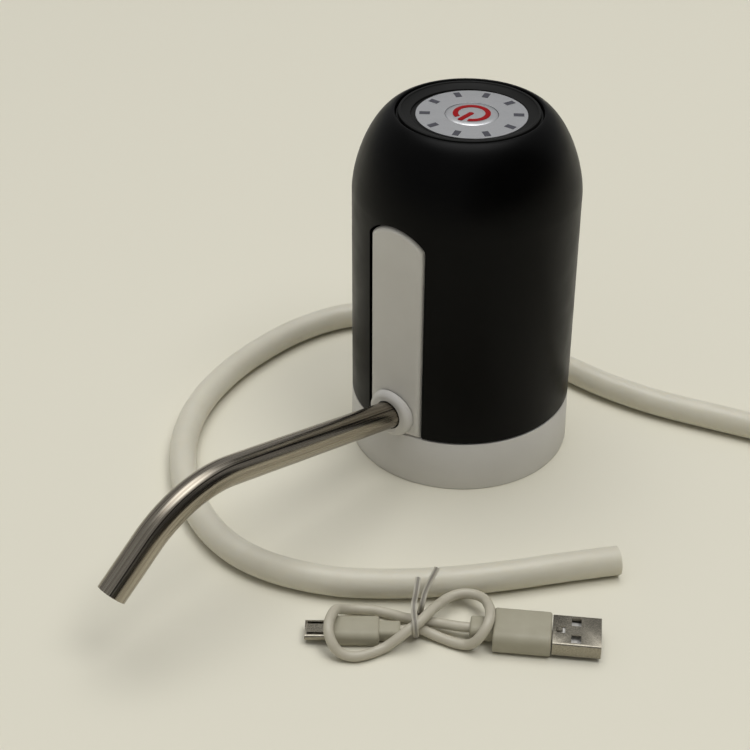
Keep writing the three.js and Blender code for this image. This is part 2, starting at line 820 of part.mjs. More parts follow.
// Where the spout's centreline has come to after its straight part, its bend and its end
function spoutStations() {
  const stations = [];
  const add = (down, out, angle) => stations.push({
    place: new THREE.Vector3(0, -down, out),
    along: new THREE.Vector3(0, -Math.sin(angle), Math.cos(angle)),
  });
  add(0, -spoutDepth, 0);
  for (let i = 0; i <= spoutBendSteps; i++) {
    const angle = (spoutBend * i) / spoutBendSteps;
    const out = spoutStraight + spoutBendRadius * Math.sin(angle);
    add(spoutBendRadius * (1 - Math.cos(angle)), out, angle);
  }
  const { place, along } = stations.at(-1);
  stations.push({ place: place.clone().addScaledVector(along, spoutEnd), along });
  return stations;
}

function spoutTube() {
  const stations = spoutStations();
  const section = ringSection(spoutRadius, spoutRadius - spoutWall, spoutSides);
  return tubeAlong(new StationPath(stations), section, stations.length - 1);
}

// How far the spout's end stands out from the pump's axis
function spoutReach() {
  const { place } = spoutStations().at(-1);
  const out = place.z * Math.cos(outletRise) - place.y * Math.cos(spoutTurn) * Math.sin(outletRise);
  return collarFront + out + spoutRadius * Math.sin(spoutBend - outletRise);
}

function innerChassis() {
  const cell = [cellX, cellY];
  const cellBore = cellRadius + cellGap;
  const pumpBore = pumpRadius + clearance;
  const cupTop = chassisTop + cupHeight;
  const legs = legCorners().map(([x, y]) => rod(legRadius, deckTop, chassisTop, pinSides, x, y));
  const pilots = legCorners().map(([x, y]) =>
    rod(deckShankRadius + clearance, deckTop - overrun, deckTop + legPilot, pinSides, x, y));
  const guideHalf = (guideGrip + guideWall) / 2;
  const guides = [-1, 1].map((side) => {
    const x = side * (boardHalfWidth - guideGrip + guideHalf);
    const span = [boardY - guideHalfDepth, boardY + guideHalfDepth];
    return block([x - guideHalf, x + guideHalf], span, [chassisHeight + overrun, chassisTop + guideHeight]);
  });
  const slotHalf = boardThickness / 2 + clearance;
  const slot = block(
    [-boardHalfWidth - clearance, boardHalfWidth + clearance],
    [boardY - slotHalf, boardY + slotHalf],
    [chassisTop, chassisTop + guideHeight + overrun],
  );
  const solids = joined(
    rod(chassisRadius, chassisHeight, chassisTop, skinSides),
    ...legs,
    rod(cellBore + cupWall, chassisHeight + overrun, cupTop, hiddenSides, ...cell),
    rod(pumpBore + pumpRingWall, chassisHeight + overrun, chassisTop + pumpRingHeight, hiddenSides, pumpX),
    ...guides,
  );
  return without(
    solids,
    rod(cellBore, chassisTop, cupTop + overrun, hiddenSides, ...cell),
    rod(pumpBore, chassisTop, cupTop + overrun, hiddenSides, pumpX),
    rod(pumpWindowRadius, chassisHeight - overrun, chassisTop + overrun, hiddenSides, pumpX),
    slot,
    ...pilots,
  );
}

function pumpScrewPlaces() {
  return around(pumpScrews, pumpScrewCircle, Math.PI / 2);
}

function screwHoles(bottom, top) {
  const radius = pumpShankRadius + clearance;
  return pumpScrewPlaces().map(([x, y]) => rod(radius, bottom - overrun, top, pinSides, x, y));
}

function pumpCover() {
  const nozzles = [[-pumpX, 0], [deliveryX, deliveryY]];
  const bottom = chassisTop - nozzleLength;
  const chamber = coverTop - chamberDepth;
  const bosses = nozzles.map(([x, y]) => rod(barbRadius, bottom, chassisTop + overrun, pinSides, x, y));
  const bores = nozzles.map(([x, y]) =>
    rod(nippleBoreRadius, bottom - overrun, chamber + overrun, pinSides, x, y));
  const counterbores = pumpScrewPlaces().map(([x, y]) =>
    rod(pumpHeadRadius + clearance, chassisTop - overrun, chassisTop + pumpHeadHeight + clearance,
      pinSides, x, y));
  return without(
    joined(rod(pumpRadius, chassisTop, coverTop, hiddenSides), ...bosses),
    rod(chamberRadius, chamber, coverTop + overrun, hiddenSides),
    ...bores,
    ...counterbores,
    ...screwHoles(chassisTop, coverTop + overrun),
  );
}

function cupPlaces() {
  return around(cups, cupCircle, -Math.PI / 2);
}

function valvePlate() {
  const ports = cupPlaces().map(([x, y]) =>
    rod(valvePortRadius, coverTop - overrun, membraneBottom + overrun, wireSides, x, y));
  return without(
    rod(pumpRadius, coverTop, membraneBottom, hiddenSides),
    ...ports,
    ...screwHoles(coverTop, membraneBottom + overrun),
  );
}

function diaphragm() {
  const top = frameBottom + cupRise;
  const chambers = cupPlaces().map(([x, y]) => rod(cupRadius, membraneBottom, top, pinSides, x, y));
    const bores = cupPlaces().map(([x, y]) =>
    rod(cupRadius - cupSkin, membraneBottom - overrun, top - cupSkin, pinSides, x, y));
  return without(
    joined(rod(pumpRadius, membraneBottom, frameBottom, hiddenSides), ...chambers),
    ...bores,
    ...screwHoles(membraneBottom, frameBottom + overrun),
  );
}

function pumpFrame() {
  const bossTop = frameBottom + frameBossHeight;
  const bosses = pumpScrewPlaces().map(([x, y]) =>
    rod(frameBossRadius, frameBottom, bossTop, pinSides, x, y));
  const outer = rod(frameRadius, frameBottom, canBottom, hiddenSides);
  const hollow = rod(frameRadius - frameWall, frameBottom - overrun, canBottom - framePlate, hiddenSides);
  const shaftHole = rod(2 * shaftRadius, canBottom - 2 * framePlate, canBottom + overrun);
  const pilots = screwHoles(frameBottom, bossTop - overrun);
  return without(joined(without(outer, hollow), ...bosses), shaftHole, ...pilots);
}

function wobblePlate() {
  return turned([
    [0, 0],
    [wobbleRadius, 0],
    [wobbleRadius, wobbleThickness],
    [stemRadius, wobbleThickness],
    [stemRadius, wobbleThickness + stemLength],
    [0, wobbleThickness + stemLength],
  ], smallSides);
}

function eccentricWheel() {
  return turned([
    [eccentricRecessRadius, 0],
    [eccentricRadius, 0],
    [eccentricRadius, eccentricHeight],
    [shaftRadius + clearance, eccentricHeight],
    [shaftRadius + clearance, eccentricRecess],
    [eccentricRecessRadius, eccentricRecess],
  ], smallSides);
}

function motorCan() {
  const hole = shaftRadius + clearance;
  return turned([
    [hole, canBottom],
    [canRadius, canBottom],
    [canRadius, capBottom],
    [canRadius - canWall, capBottom],
    [canRadius - canWall, canBottom + canWall],
    [hole, canBottom + canWall],
  ], hiddenSides);
}

function motorEndCap() {
  const spigot = canRadius - canWall - clearance;
  const bearing = shaftRadius + clearance;
  const bearingTop = capBottom - capSpigot + bearingDepth;
  const capTop = capBottom + capHeight;
  return turned([
    [0, bearingTop],
    [bearing, bearingTop],
    [bearing, capBottom - capSpigot],
    [spigot, capBottom - capSpigot],
    [spigot, capBottom],
    [canRadius, capBottom],
    [canRadius, capTop - canWall],
    [canRadius - canWall, capTop],
    [0, capTop],
  ], hiddenSides);
}

function motorArmature() {
  const bottom = canBottom + armatureLift;
  const top = bottom + armatureHeight;
  const slots = Array.from({ length: armatureSlots }, (_, i) =>
    block(
      [armatureRadius - armatureSlotDepth, armatureRadius + overrun],
      [-armatureSlotWidth / 2, armatureSlotWidth / 2],
      [bottom - overrun, top + overrun],
    ).rotate([0, 0, (360 * i) / armatureSlots]));
  const core = rod(armatureRadius, bottom, top, hiddenSides);
  return without(core, rod(shaftRadius + clearance, bottom - overrun, top + overrun), ...slots);
}

function motorMagnet() {
  const outer = canRadius - canWall - clearance;
  const outline = [
    ...arc(0, 0, outer, -magnetHalfAngle, magnetHalfAngle, magnetSteps),
    ...arc(0, 0, magnetInner, magnetHalfAngle, -magnetHalfAngle, magnetSteps),
  ];
  const depth = armatureHeight;
  const geometry = new THREE.ExtrudeGeometry(shapeOf(outline), { depth, bevelEnabled: false });
  return geometry.translate(0, 0, canBottom + armatureLift);
}

function batteryCell() {
  const top = chassisTop + cellLength;
  return turned([
    [0, chassisTop],
    [cellRadius - cellEdge, chassisTop],
    [cellRadius, chassisTop + cellEdge],
    [cellRadius, top - cellButtonHeight - cellEdge],
    [cellRadius - cellEdge, top - cellButtonHeight],
    [cellButtonRadius, top - cellButtonHeight],
    [cellButtonRadius, top],
    [0, top],
  ], hiddenSides);
}

function mainBoard() {
  const bottom = chassisTop + clearance;
  const front = boardY - boardThickness / 2;
  const board = block(
    [-boardHalfWidth, boardHalfWidth],
    [front, front + boardThickness],
    [bottom, bottom + boardHeight],
  );
  const chips = [-1, 1].map((side) => {
    const x = (side * chipPitch) / 2;
    const z = bottom + chipRise;
    return block(
      [x - chipSize / 2, x + chipSize / 2],
      [front - chipHeight, front + boardThickness / 2],
      [z - chipSize / 2, z + chipSize / 2],
    );
  });
  return joined(board, ...chips);
}

function usbSocket() {
  const back = boardY + boardThickness / 2;
  const box = (inset, start, end) => block(
    [-portWidth / 2 + inset, portWidth / 2 - inset],
    [start, end],
    [portHeight - portThickness / 2 + inset, portHeight + portThickness / 2 - inset],
  );
  return without(box(0, back, back + portDepth), box(portWall, back + portWall, back + portDepth + overrun));
}

function inletTube() {
  const bottom = deckTop + nippleFlangeHeight + clearance;
  const top = chassisTop - clearance;
  const bore = rod(tubeBoreRadius, bottom - overrun, top + overrun, smallSides);
  return without(rod(tubeRadius, bottom, top, smallSides), bore);
}

// From the socket's barb in one easy bend up to the pump's delivery nozzle
function outletTube() {
  const matrix = outletMatrix();
  const start = new THREE.Vector3(0, 0, -socketDepth - clearance).applyMatrix4(matrix);
  const barbEnd = new THREE.Vector3(0, 0, -socketDepth - barbLength).applyMatrix4(matrix);
  const inward = outletAlong.clone().negate();
  const nozzle = new THREE.Vector3(pumpX + deliveryX, deliveryY, chassisTop - nozzleLength);
  const end = nozzle.clone().setZ(chassisTop - clearance);
  const bend = new THREE.CubicBezierCurve3(
    barbEnd,
    barbEnd.clone().addScaledVector(inward, tubeBend),
    nozzle.clone().setZ(nozzle.z - tubeRise),
    nozzle,
  );
  const up = new THREE.Vector3(0, 0, 1);
  const stations = [{ place: start, along: inward }];
  for (let i = 0; i <= tubeSteps; i++) {
    const t = i / tubeSteps;
    stations.push({ place: bend.getPoint(t), along: bend.getTangent(t) });
  }
  stations.push({ place: end, along: up });
  const section = ringSection(tubeRadius, tubeBoreRadius, tubeSides);
  return tubeAlong(new StationPath(stations), section, stations.length - 1);
}

// A thin insulated lead that rises from its start and runs through the places given to its end
function innerLead(start, shares, end) {
  const [x, y, z] = start;
  const low = end.at(-1);
  const middle = shares.map(([across, back, up]) =>
    [across * chassisRadius, back * chassisRadius, low + up * (z - low)]);
  const curve = curveThrough([start, [x, y, z + leadLift], ...middle, end]);
  return tubeAlong(curve, ringSection(leadRadius, 0, wireSides), leadSteps);
}

// Where a lead is soldered to the inner face of the board, as shares of its half width and its height
function boardPad(acrossShare, upShare) {
  const z = chassisTop + clearance + boardHeight * upShare;
  return [boardHalfWidth * acrossShare, boardY - boardThickness / 2 - leadRadius - clearance, z];
}

function motorLead(side, shares, padShare) {
  const start = [pumpX + (side * canRadius) / 2, 0, capBottom + capHeight + clearance];
  return innerLead(start, shares, boardPad(padShare, upperPadShare));
}

function cellRedLead() {
  const start = [cellX, cellY, chassisTop + cellLength + clearance];
  return innerLead(start, cellRedShares, boardPad(cellRedPadShare, upperPadShare));
}

function cellBlackLead() {
  const away = cellRadius + leadRadius + clearance;
  const x = cellX + away * Math.cos(tabAngle);
  const y = cellY + away * Math.sin(tabAngle);
  const start = [x, y, chassisTop + cupHeight + tabLift];
  return innerLead(start, cellBlackShares, boardPad(cellBlackPadShare, lowerPadShare));
}

// The flat ribbon from the switch board down to the main board
function switchRibbon() {
  const bottom = chassisTop + clearance + boardHeight + clearance;
  const top = switchBoardBottom - clearance;
  const high = switchBoardRadius - ribbonWidth / 2;
  const curve = new THREE.CubicBezierCurve(
    new THREE.Vector2(high, top),
    new THREE.Vector2(high, (top + bottom) / 2),
    new THREE.Vector2(boardY, (top + bottom) / 2),
    new THREE.Vector2(boardY, bottom),
  );
  const side = (offset) => Array.from({ length: ribbonSteps + 1 }, (_, i) => {
    const t = i / ribbonSteps;
    const place = curve.getPoint(t);
    const along = curve.getTangent(t);
    return [place.x - along.y * offset, place.y + along.x * offset];
  });
  const half = ribbonThickness / 2;
  const outline = shapeOf([...side(half), ...side(-half).reverse()]);
  const geometry = new THREE.ExtrudeGeometry(outline, { depth: ribbonWidth, bevelEnabled: false });
  return geometry.rotateX(Math.PI / 2).rotateZ(Math.PI / 2).translate(-ribbonWidth / 2, 0, 0);
}

function topBezel() {
  const outer = rimRadius - clearance;
  const inner = buttonRadius + clearance;
  const dish = solid(turned([
    [inner, recessTop],
    [outer, recessTop],
    [outer, bezelTop],
    [outer - bezelBand, bezelTop],
    [bezelInnerRadius, topHeight - bezelInnerDrop],
    [bezelInnerRadius, dialSeat],
    [inner, dialSeat],
  ], skinSides));
  const posts = [-1, 1].map((side) =>
    rod(postRadius, switchBoardTop, recessTop + bezelFloor / 2, pinSides, side * postPlace));
  const pilotRadius = switchShankRadius + clearance;
  const pilots = [-1, 1].map((side) =>
    rod(pilotRadius, switchBoardTop - overrun, switchBoardTop + postPilot, pinSides, side * postPlace));
  return without(joined(dish, ...posts), ...pilots);
}

function dialPlate() {
  const inner = buttonRadius + clearance;
  const outer = bezelInnerRadius - clearance;
  const top = dialSeat + dialThickness;
  return turned([[inner, dialSeat], [outer, dialSeat], [outer, top], [inner, top]], skinSides);
}

function powerButton() {
  const flangeTop = keyBottom + keyFlangeHeight;
  return turned([
    [0, keyBottom],
    [buttonRadius + keyFlange, keyBottom],
    [buttonRadius + keyFlange, flangeTop],
    [buttonRadius, flangeTop],
    [buttonRadius, keyTop],
    [0, keyTop],
  ], roundSides);
}

// The clear cover of the button, very slightly domed
function buttonLens() {
  const bulge = (buttonRadius ** 2 + lensRise ** 2) / (2 * lensRise);
  const lean = Math.asin(buttonRadius / bulge);
  const crown = keyTop + lensEdge + lensRise;
  const dome = arc(0, crown - bulge, bulge, Math.PI / 2 - lean, Math.PI / 2, lensSteps).slice(0, -1);
  return turned([[0, keyTop], [buttonRadius, keyTop], ...dome, [0, crown]], roundSides);
}

function switchBoard() {
  const bottom = switchBoardBottom;
  const radius = switchShankRadius + clearance;
  const holes = [-1, 1].map((side) =>
    rod(radius, bottom - overrun, switchBoardTop + overrun, pinSides, side * postPlace));
  return without(rod(switchBoardRadius, bottom, switchBoardTop, roundSides), ...holes);
}

function tactSwitch() {
  const half = tactSize / 2;
  const top = switchBoardTop + tactHeight;
  const body = block([-half, half], [-half, half], [switchBoardTop, top]);
  return without(body, rod(plungerRadius + clearance, switchBoardTop + tactFloor, top + overrun));
}

function plunger() {
  return rod(plungerRadius, keyBottom - plungerLength, keyBottom);
}

function iconLed() {
  const half = ledSize / 2;
  return block([-half, half], [-half, half], [0, ledHeight]);
}

// The least distance between the surfaces of stretches of one cord that pass each other
function leastGap(curve, radius) {
  const points = curve.getSpacedPoints(gapSamples);
  const apart = Math.ceil((gapReachShare * radius * gapSamples) / curve.getLength());
  let least = Infinity;
  for (let i = 0; i <= gapSamples; i++) {
    for (let j = i + apart; j <= gapSamples; j++) {
      least = Math.min(least, points[i].distanceTo(points[j]));
    }
  }
  return least - 2 * radius;
}

function hoseTube() {
  const curve = curveThrough(hoseRoute.map(([x, y]) => [x, y, hoseRadius]));
  console.log(`hose: ${curve.getLength().toFixed(1)} mm long`);
  return tubeAlong(curve, ringSection(hoseRadius, hoseBoreRadius, hoseSides), hoseSteps);
}

function chargingCable() {
  const curve = curveThrough(cableRoute);
  const gap = leastGap(curve, cableRadius);
  console.log(`charging lead: ${curve.getLength().toFixed(1)} mm long, ${gap.toFixed(2)} mm to itself`);
  return tubeAlong(curve, ringSection(cableRadius, 0, cableSides), cableSteps);
}

// The wire tie in its own frame: X along the strands, and one turn of wire round all of them
function tieRoute() {
  const reach = cableRadius + tieRadius + clearance;
  const loop = tieStrands.flatMap(([y, z], i) => {
    const [fromY, fromZ] = tieStrands.at(i - 1);
    const [toY, toZ] = tieStrands[(i + 1) % tieStrands.length];
    const inward = Math.atan2(fromY - y, z - fromZ);
    const outward = Math.atan2(y - toY, toZ - z);
    const sweep = (outward - inward + 2 * Math.PI) % (2 * Math.PI);
    return arc(y, z, reach, inward, inward + sweep, cornerSteps);
  });
  const last = loop.length - 1;
  const turn = loop.map(([y, z], i) => [tiePitch * (i / last - 0.5), y, z]);
  return [...tieTails[0], ...turn, ...tieTails[1]];
}

function twistTie() {
  const curve = curveThrough(tieRoute());
  const gap = leastGap(curve, tieRadius);
  console.log(`wire tie: ${curve.getLength().toFixed(1)} mm long, ${gap.toFixed(2)} mm to itself`);
  return tubeAlong(curve, ringSection(tieRadius, 0, wireSides), tieSteps);
}

// A bar along X with a rounded section and softened ends
function softBar(start, length, width, thickness, corner, edge) {
  const across = thickness / 2 - corner;
  const along = width / 2 - corner;
  const outline = [
    ...arc(across, along, corner, 0, Math.PI / 2, cornerSteps),
    ...arc(-across, along, corner, Math.PI / 2, Math.PI, cornerSteps),
    ...arc(-across, -along, corner, Math.PI, 1.5 * Math.PI, cornerSteps),
    ...arc(across, -along, corner, 1.5 * Math.PI, 2 * Math.PI, cornerSteps),
  ];
  const bevel = {
    bevelEnabled: edge > 0,
    bevelSize: edge,
    bevelOffset: -edge,
    bevelThickness: edge,
    bevelSegments: 2,
  };
  const geometry = new THREE.ExtrudeGeometry(shapeOf(outline), { depth: length - 2 * edge, ...bevel });
  return solid(geometry.rotateY(Math.PI / 2).translate(start + edge, 0, 0));
}

function plugAShell() {
  const outer = softBar(0, plugALength, plugAWidth, plugAThickness, plugAWall, 0);
  const width = plugAWidth - 2 * plugAWall;
  const thickness = plugAThickness - 2 * plugAWall;
  const hollow = block(
    [-overrun, plugALength + overrun],
    [-width / 2, width / 2],
    [-thickness / 2, thickness / 2],
  );
  const half = plugAHole / 2;
  const holes = [-1, 1].map((side) => {
    const y = side * plugAHoleSpread;
    const x = plugAHolePlace;
    return block([x - half, x + half], [y - half, y + half], [-plugAThickness, plugAThickness]);
  });
  return without(outer, hollow, ...holes);
}

function plugAInsert() {
  const width = plugAWidth - 2 * (plugAWall + clearance);
  const top = plugAThickness / 2 - plugAWall - clearance;
  const floor = (plugALength - plugAHolePlace) / 2;
  return joined(
    block([0, plugALength - clearance], [-width / 2, width / 2], [-top, plugATongue - top]),
    block([0, floor], [-width / 2, width / 2], [-top, top]),
  );
}

function plugAGrip() {
  const bar = softBar(-plugAGripLength - clearance, plugAGripLength, plugAGripWidth, plugAGripThickness,
    plugACorner, gripEdge);
  const stepStart = -plugAGripLength - clearance - plugAStepLength;
  const step = softBar(stepStart, plugAStepLength + plugAGripLength / 2, plugAStepWidth,
    plugAStepThickness, plugACorner - gripEdge, gripEdge);
  return joined(bar, step);
}

// The micro plug points the other way, towards -X in its own frame
function microShell() {
  const outer = softBar(-microLength, microLength, microWidth, microThickness, microWall, 0);
  const width = microWidth - 2 * microWall;
  const thickness = microThickness - 2 * microWall;
  const hollow = block(
    [-microLength - overrun, -microLength * microRootShare],
    [-width / 2, width / 2],
    [-thickness / 2, thickness / 2],
  );
  return without(outer, hollow);
}

function microGrip() {
  const bar = softBar(clearance, microGripLength, microGripWidth, microGripThickness, microCorner, gripEdge);
  const half = microGripLength / 2;
  const step = softBar(clearance + half, half + microStepLength, microStepWidth,
    microStepThickness, microCorner - gripEdge, gripEdge);
  return joined(bar, step);
}

const product = new THREE.Group();
product.name = "bottled_water_pump";

// The pump, on its own axis
const pump = new THREE.Group();
pump.position.y = (spoutReach() - baseRadius) / 2;
product.add(pump);

addPiece(pump, "base_ring", baseRing(), whitePlastic);
addPiece(pump, "upper_housing", upperHousing(), blackPlastic);
addPiece(pump, "front_panel", frontPanel(), whitePlastic);
addPiece(pump, "inlet_nipple", inletNipple(), whitePlastic);
legCorners().forEach(([x, y], i) => {
  const shape = screw(deckHeadRadius, deckHeadHeight, deckShankRadius, deckShankLength);
  addPiece(pump, `deck_screw_${i + 1}`, shape, plainSteel, [x, y, deckUnderside]);
});
addPiece(pump, "inner_chassis", innerChassis(), greyPlastic);
addPiece(pump, "outlet_socket", outletSocket(), whitePlastic);

// What sits in the socket, in the spout's frame
const outlet = new THREE.Group();
outlet.position.set(0, -collarFront, outletHeight);
outlet.rotation.x = Math.PI / 2 - outletRise;
pump.add(outlet);
ringDepths().reverse().forEach((depth, i) => {
  addPiece(outlet, `o_ring_${i + 1}`, sealRing(), greyRubber, [0, 0, -depth]);
});
addPiece(outlet, "spout", spoutTube(), brushedSteel).rotation.z = spoutTurn;

// The diaphragm pump and its motor
const pumpUnit = new THREE.Group();
pumpUnit.position.x = pumpX;
pump.add(pumpUnit);
addPiece(pumpUnit, "pump_cover", pumpCover(), greyPlastic);
addPiece(pumpUnit, "valve_plate", valvePlate(), greyPlastic);
addPiece(pumpUnit, "diaphragm", diaphragm(), greyRubber);
addPiece(pumpUnit, "pump_frame", pumpFrame(), greyPlastic);
const wobbleSeat = [0, 0, frameBottom + cupRise + wobbleLift];
addPiece(pumpUnit, "wobble_plate", wobblePlate(), greyPlastic, wobbleSeat).rotation.x = wobbleTilt;
addPiece(pumpUnit, "eccentric_wheel", eccentricWheel(), greyPlastic, [0, 0, frameBottom + eccentricLift]);
const shaftBottom = frameBottom + eccentricLift + eccentricRecess + clearance;
const shaftTop = capBottom - capSpigot + bearingDepth - clearance;
addPiece(pumpUnit, "motor_shaft", rod(shaftRadius, shaftBottom, shaftTop), plainSteel);
addPiece(pumpUnit, "motor_can", motorCan(), plainSteel);
addPiece(pumpUnit, "motor_end_cap", motorEndCap(), satinBlack);
addPiece(pumpUnit, "motor_armature", motorArmature(), copper);
[0, Math.PI].forEach((turn, i) => {
  addPiece(pumpUnit, `motor_magnet_${i + 1}`, motorMagnet(), ferrite).rotation.z = turn;
});
pumpScrewPlaces().forEach(([x, y], i) => {
  const shape = screw(pumpHeadRadius, pumpHeadHeight, pumpShankRadius, pumpShankLength);
  const seat = chassisTop + pumpHeadHeight + clearance;
  addPiece(pumpUnit, `pump_screw_${i + 1}`, shape, plainSteel, [x, y, seat]);
});
addPiece(pump, "inlet_tube", inletTube(), siliconeTube);
addPiece(pump, "outlet_tube", outletTube(), siliconeTube);

// Cell, boards and leads
addPiece(pump, "battery_cell", batteryCell(), cellBlue, [cellX, cellY, 0]);
addPiece(pump, "main_board", mainBoard(), boardGreen);
addPiece(pump, "usb_socket", usbSocket(), plainSteel);
addPiece(pump, "motor_lead_red", motorLead(-1, motorRedShares, motorRedPadShare), redLead);
addPiece(pump, "motor_lead_black", motorLead(1, motorBlackShares, motorBlackPadShare), darkLead);
addPiece(pump, "battery_lead_red", cellRedLead(), redLead);
addPiece(pump, "battery_lead_black", cellBlackLead(), darkLead);
addPiece(pump, "switch_ribbon", switchRibbon(), leadCover);

// Top
addPiece(pump, "top_bezel", topBezel(), satinBlack);
addPiece(pump, "dial_plate", dialPlate(), dialSilver);
addPiece(pump, "power_button", powerButton(), whitePlastic);
addPiece(pump, "button_lens", buttonLens(), clearCover);
addPiece(pump, "switch_board", switchBoard(), boardGreen);
addPiece(pump, "tact_switch", tactSwitch(), satinBlack);
addPiece(pump, "switch_plunger", plunger(), whitePlastic);
addPiece(pump, "icon_led", iconLed(), whitePlastic, [ledPlace, 0, switchBoardTop]);
[-1, 1].forEach((side, i) => {
  const shape = screw(switchHeadRadius, switchHeadHeight, switchShankRadius, switchShankLength);
  const place = [side * postPlace, 0, switchBoardBottom];
  addPiece(pump, `switch_screw_${i + 1}`, shape, plainSteel, place);
});

// The hose and the charging lead, lying beside the pump
addPiece(pump, "hose", hoseTube(), hoseClear);
addPiece(pump, "usb_cable", chargingCable(), leadCover);
const tie = addPiece(pump, "twist_tie", twistTie(), tieGrey, [...tieCentre, 0]);
tie.rotation.z = tieTurn;

const plugA = new THREE.Group();
plugA.position.set(...plugAPlace, plugAHeight);
plugA.rotation.z = plugATurn;
pump.add(plugA);
addPiece(plugA, "usb_a_shell", plugAShell(), plainSteel);
addPiece(plugA, "usb_a_insert", plugAInsert(), whitePlastic);
addPiece(plugA, "usb_a_grip", plugAGrip(), leadCover);

const micro = new THREE.Group();
micro.position.set(...microPlace, microHeight);
micro.rotation.z = microTurn;
pump.add(micro);
addPiece(micro, "micro_shell", microShell(), plainSteel);
addPiece(micro, "micro_grip", microGrip(), leadCover);

export default product;
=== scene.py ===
import math

import bmesh
import bpy
from mathutils import Matrix, Vector


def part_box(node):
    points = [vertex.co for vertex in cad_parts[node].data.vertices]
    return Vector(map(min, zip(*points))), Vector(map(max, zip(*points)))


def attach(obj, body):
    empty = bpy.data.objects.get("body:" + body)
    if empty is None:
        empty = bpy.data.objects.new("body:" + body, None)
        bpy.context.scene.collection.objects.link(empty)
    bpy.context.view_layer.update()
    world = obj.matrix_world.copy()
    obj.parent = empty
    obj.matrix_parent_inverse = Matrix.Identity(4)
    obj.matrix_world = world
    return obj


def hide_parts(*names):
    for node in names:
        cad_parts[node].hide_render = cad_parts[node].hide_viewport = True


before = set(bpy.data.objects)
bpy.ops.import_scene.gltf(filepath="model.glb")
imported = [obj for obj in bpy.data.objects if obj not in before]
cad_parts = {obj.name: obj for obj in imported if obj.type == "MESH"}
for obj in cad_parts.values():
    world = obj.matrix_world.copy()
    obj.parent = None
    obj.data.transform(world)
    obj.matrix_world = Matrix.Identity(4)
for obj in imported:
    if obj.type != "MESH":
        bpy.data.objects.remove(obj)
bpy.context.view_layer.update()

# A bottled water pump, standing with its spout towards -Y, with its hose and its charging lead beside it.
# Shapes are written in millimetres round the pump's own upright axis and put in the row frame, in metres,
# as each piece is finished.

MM = 0.001
ring_low, ring_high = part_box("base_ring")
PUMP = Matrix.Translation(((ring_low.x + ring_high.x) / 2, (ring_low.y + ring_high.y) / 2, 0)) @ Matrix.Scale(MM, 4)
TURN = 2 * math.pi
ROUND = 160          # steps of a full turn where a silhouette shows
SMALL = 64           # and of a small round piece
WELD = 0.0005        # vertices closer than this are one
CREASE = 38          # degrees between two faces past which their edge shows as a crease
CORNER = 60          # and past which it is a corner that gets rounded

# Sizes that several pieces share
SEAM_Z, SEAM_R = 17.6, 35.0
SHOULDER_Z, SHOULDER_R = 88.3, 34.7
TOP_Z, RIM_R, DOME_POWER = 113.6, 21.9, 1.62
WALL = 2.2
RECESS_Z, RECESS_FLOOR, RECESS_HOLE = 110.4, 1.8, 17.6
STRIP_HALF, STRIP_CROWN, STRIP_ARCH, STRIP_CORNER = 9.75, 88.3, 12.4, 2.2
SLOT_GAP = 0.65
OUTLET_Y, OUTLET_Z, OUTLET_RISE = -37.0, 24.06, math.radians(15.25)
SPOUT_R, SPOUT_WALL, SPOUT_BORE = 4.3, 0.6, 4.65
DIAL_SEAT, DIAL_TOP, DIAL_R = 111.7, 112.3, 16.5
DIAL_SLIP = Vector((0.68, 0.2, 0))           # the disc and the cover in it sit slightly to one side
BUTTON_R, BUTTON_TOP = 7.83, 112.5
TICKS, TICK_WIDE, TICK_LONG, TICK_R, TICK_TURN = 10, 1.9, 3.1, 13.8, math.radians(0.8)
INK = 0.08                                   # how thick printed ink is drawn
RIBS = 8                                     # round the inside of the foot, to grip the neck
GRIP_EDGE = 0.7                              # rounding of the plugs' soft grips


# The camera stands where the photograph was taken from.
scene = bpy.context.scene
camera = bpy.data.objects.new("camera", bpy.data.cameras.new("camera"))
scene.collection.objects.link(camera)
camera.data.sensor_width = 36
camera.data.lens = 76.4
camera.location = (0.2539, -0.2883, 0.31125)
camera.rotation_euler = (math.radians(55.76), 0, math.radians(39.95))
scene.camera = camera
scene.view_settings.view_transform = "Standard"


def linear(colour):
    """An sRGB hex colour as the linear RGBA that a shader takes."""
    parts = [int(colour[i:i + 2], 16) / 255 for i in (1, 3, 5)]
    return (*[c / 12.92 if c <= 0.04045 else ((c + 0.055) / 1.055) ** 2.4 for c in parts], 1)


def node(tree, kind, inputs=None, **settings):
    """Adds a shader node. An input is given by its name or its number, as a value or as the output that feeds it."""
    made = tree.nodes.new(kind)
    for key, value in settings.items():
        setattr(made, key, value)
    for key, value in (inputs or {}).items():
        if isinstance(value, bpy.types.NodeSocket):
            tree.links.new(value, made.inputs[key])
        else:
            made.inputs[key].default_value = value
    return made


def begin(name, **values):
    """A new material with one shader: the material, its tree, its shader and the surface's own place in metres."""
    material = bpy.data.materials.new(name)
    material.use_nodes = True
    tree = material.node_tree
    tree.nodes.clear()
    shader = node(tree, "ShaderNodeBsdfPrincipled", values)
    node(tree, "ShaderNodeOutputMaterial", {"Surface": shader.outputs[0]})
    return material, tree, shader, node(tree, "ShaderNodeTexCoord").outputs["Object"]


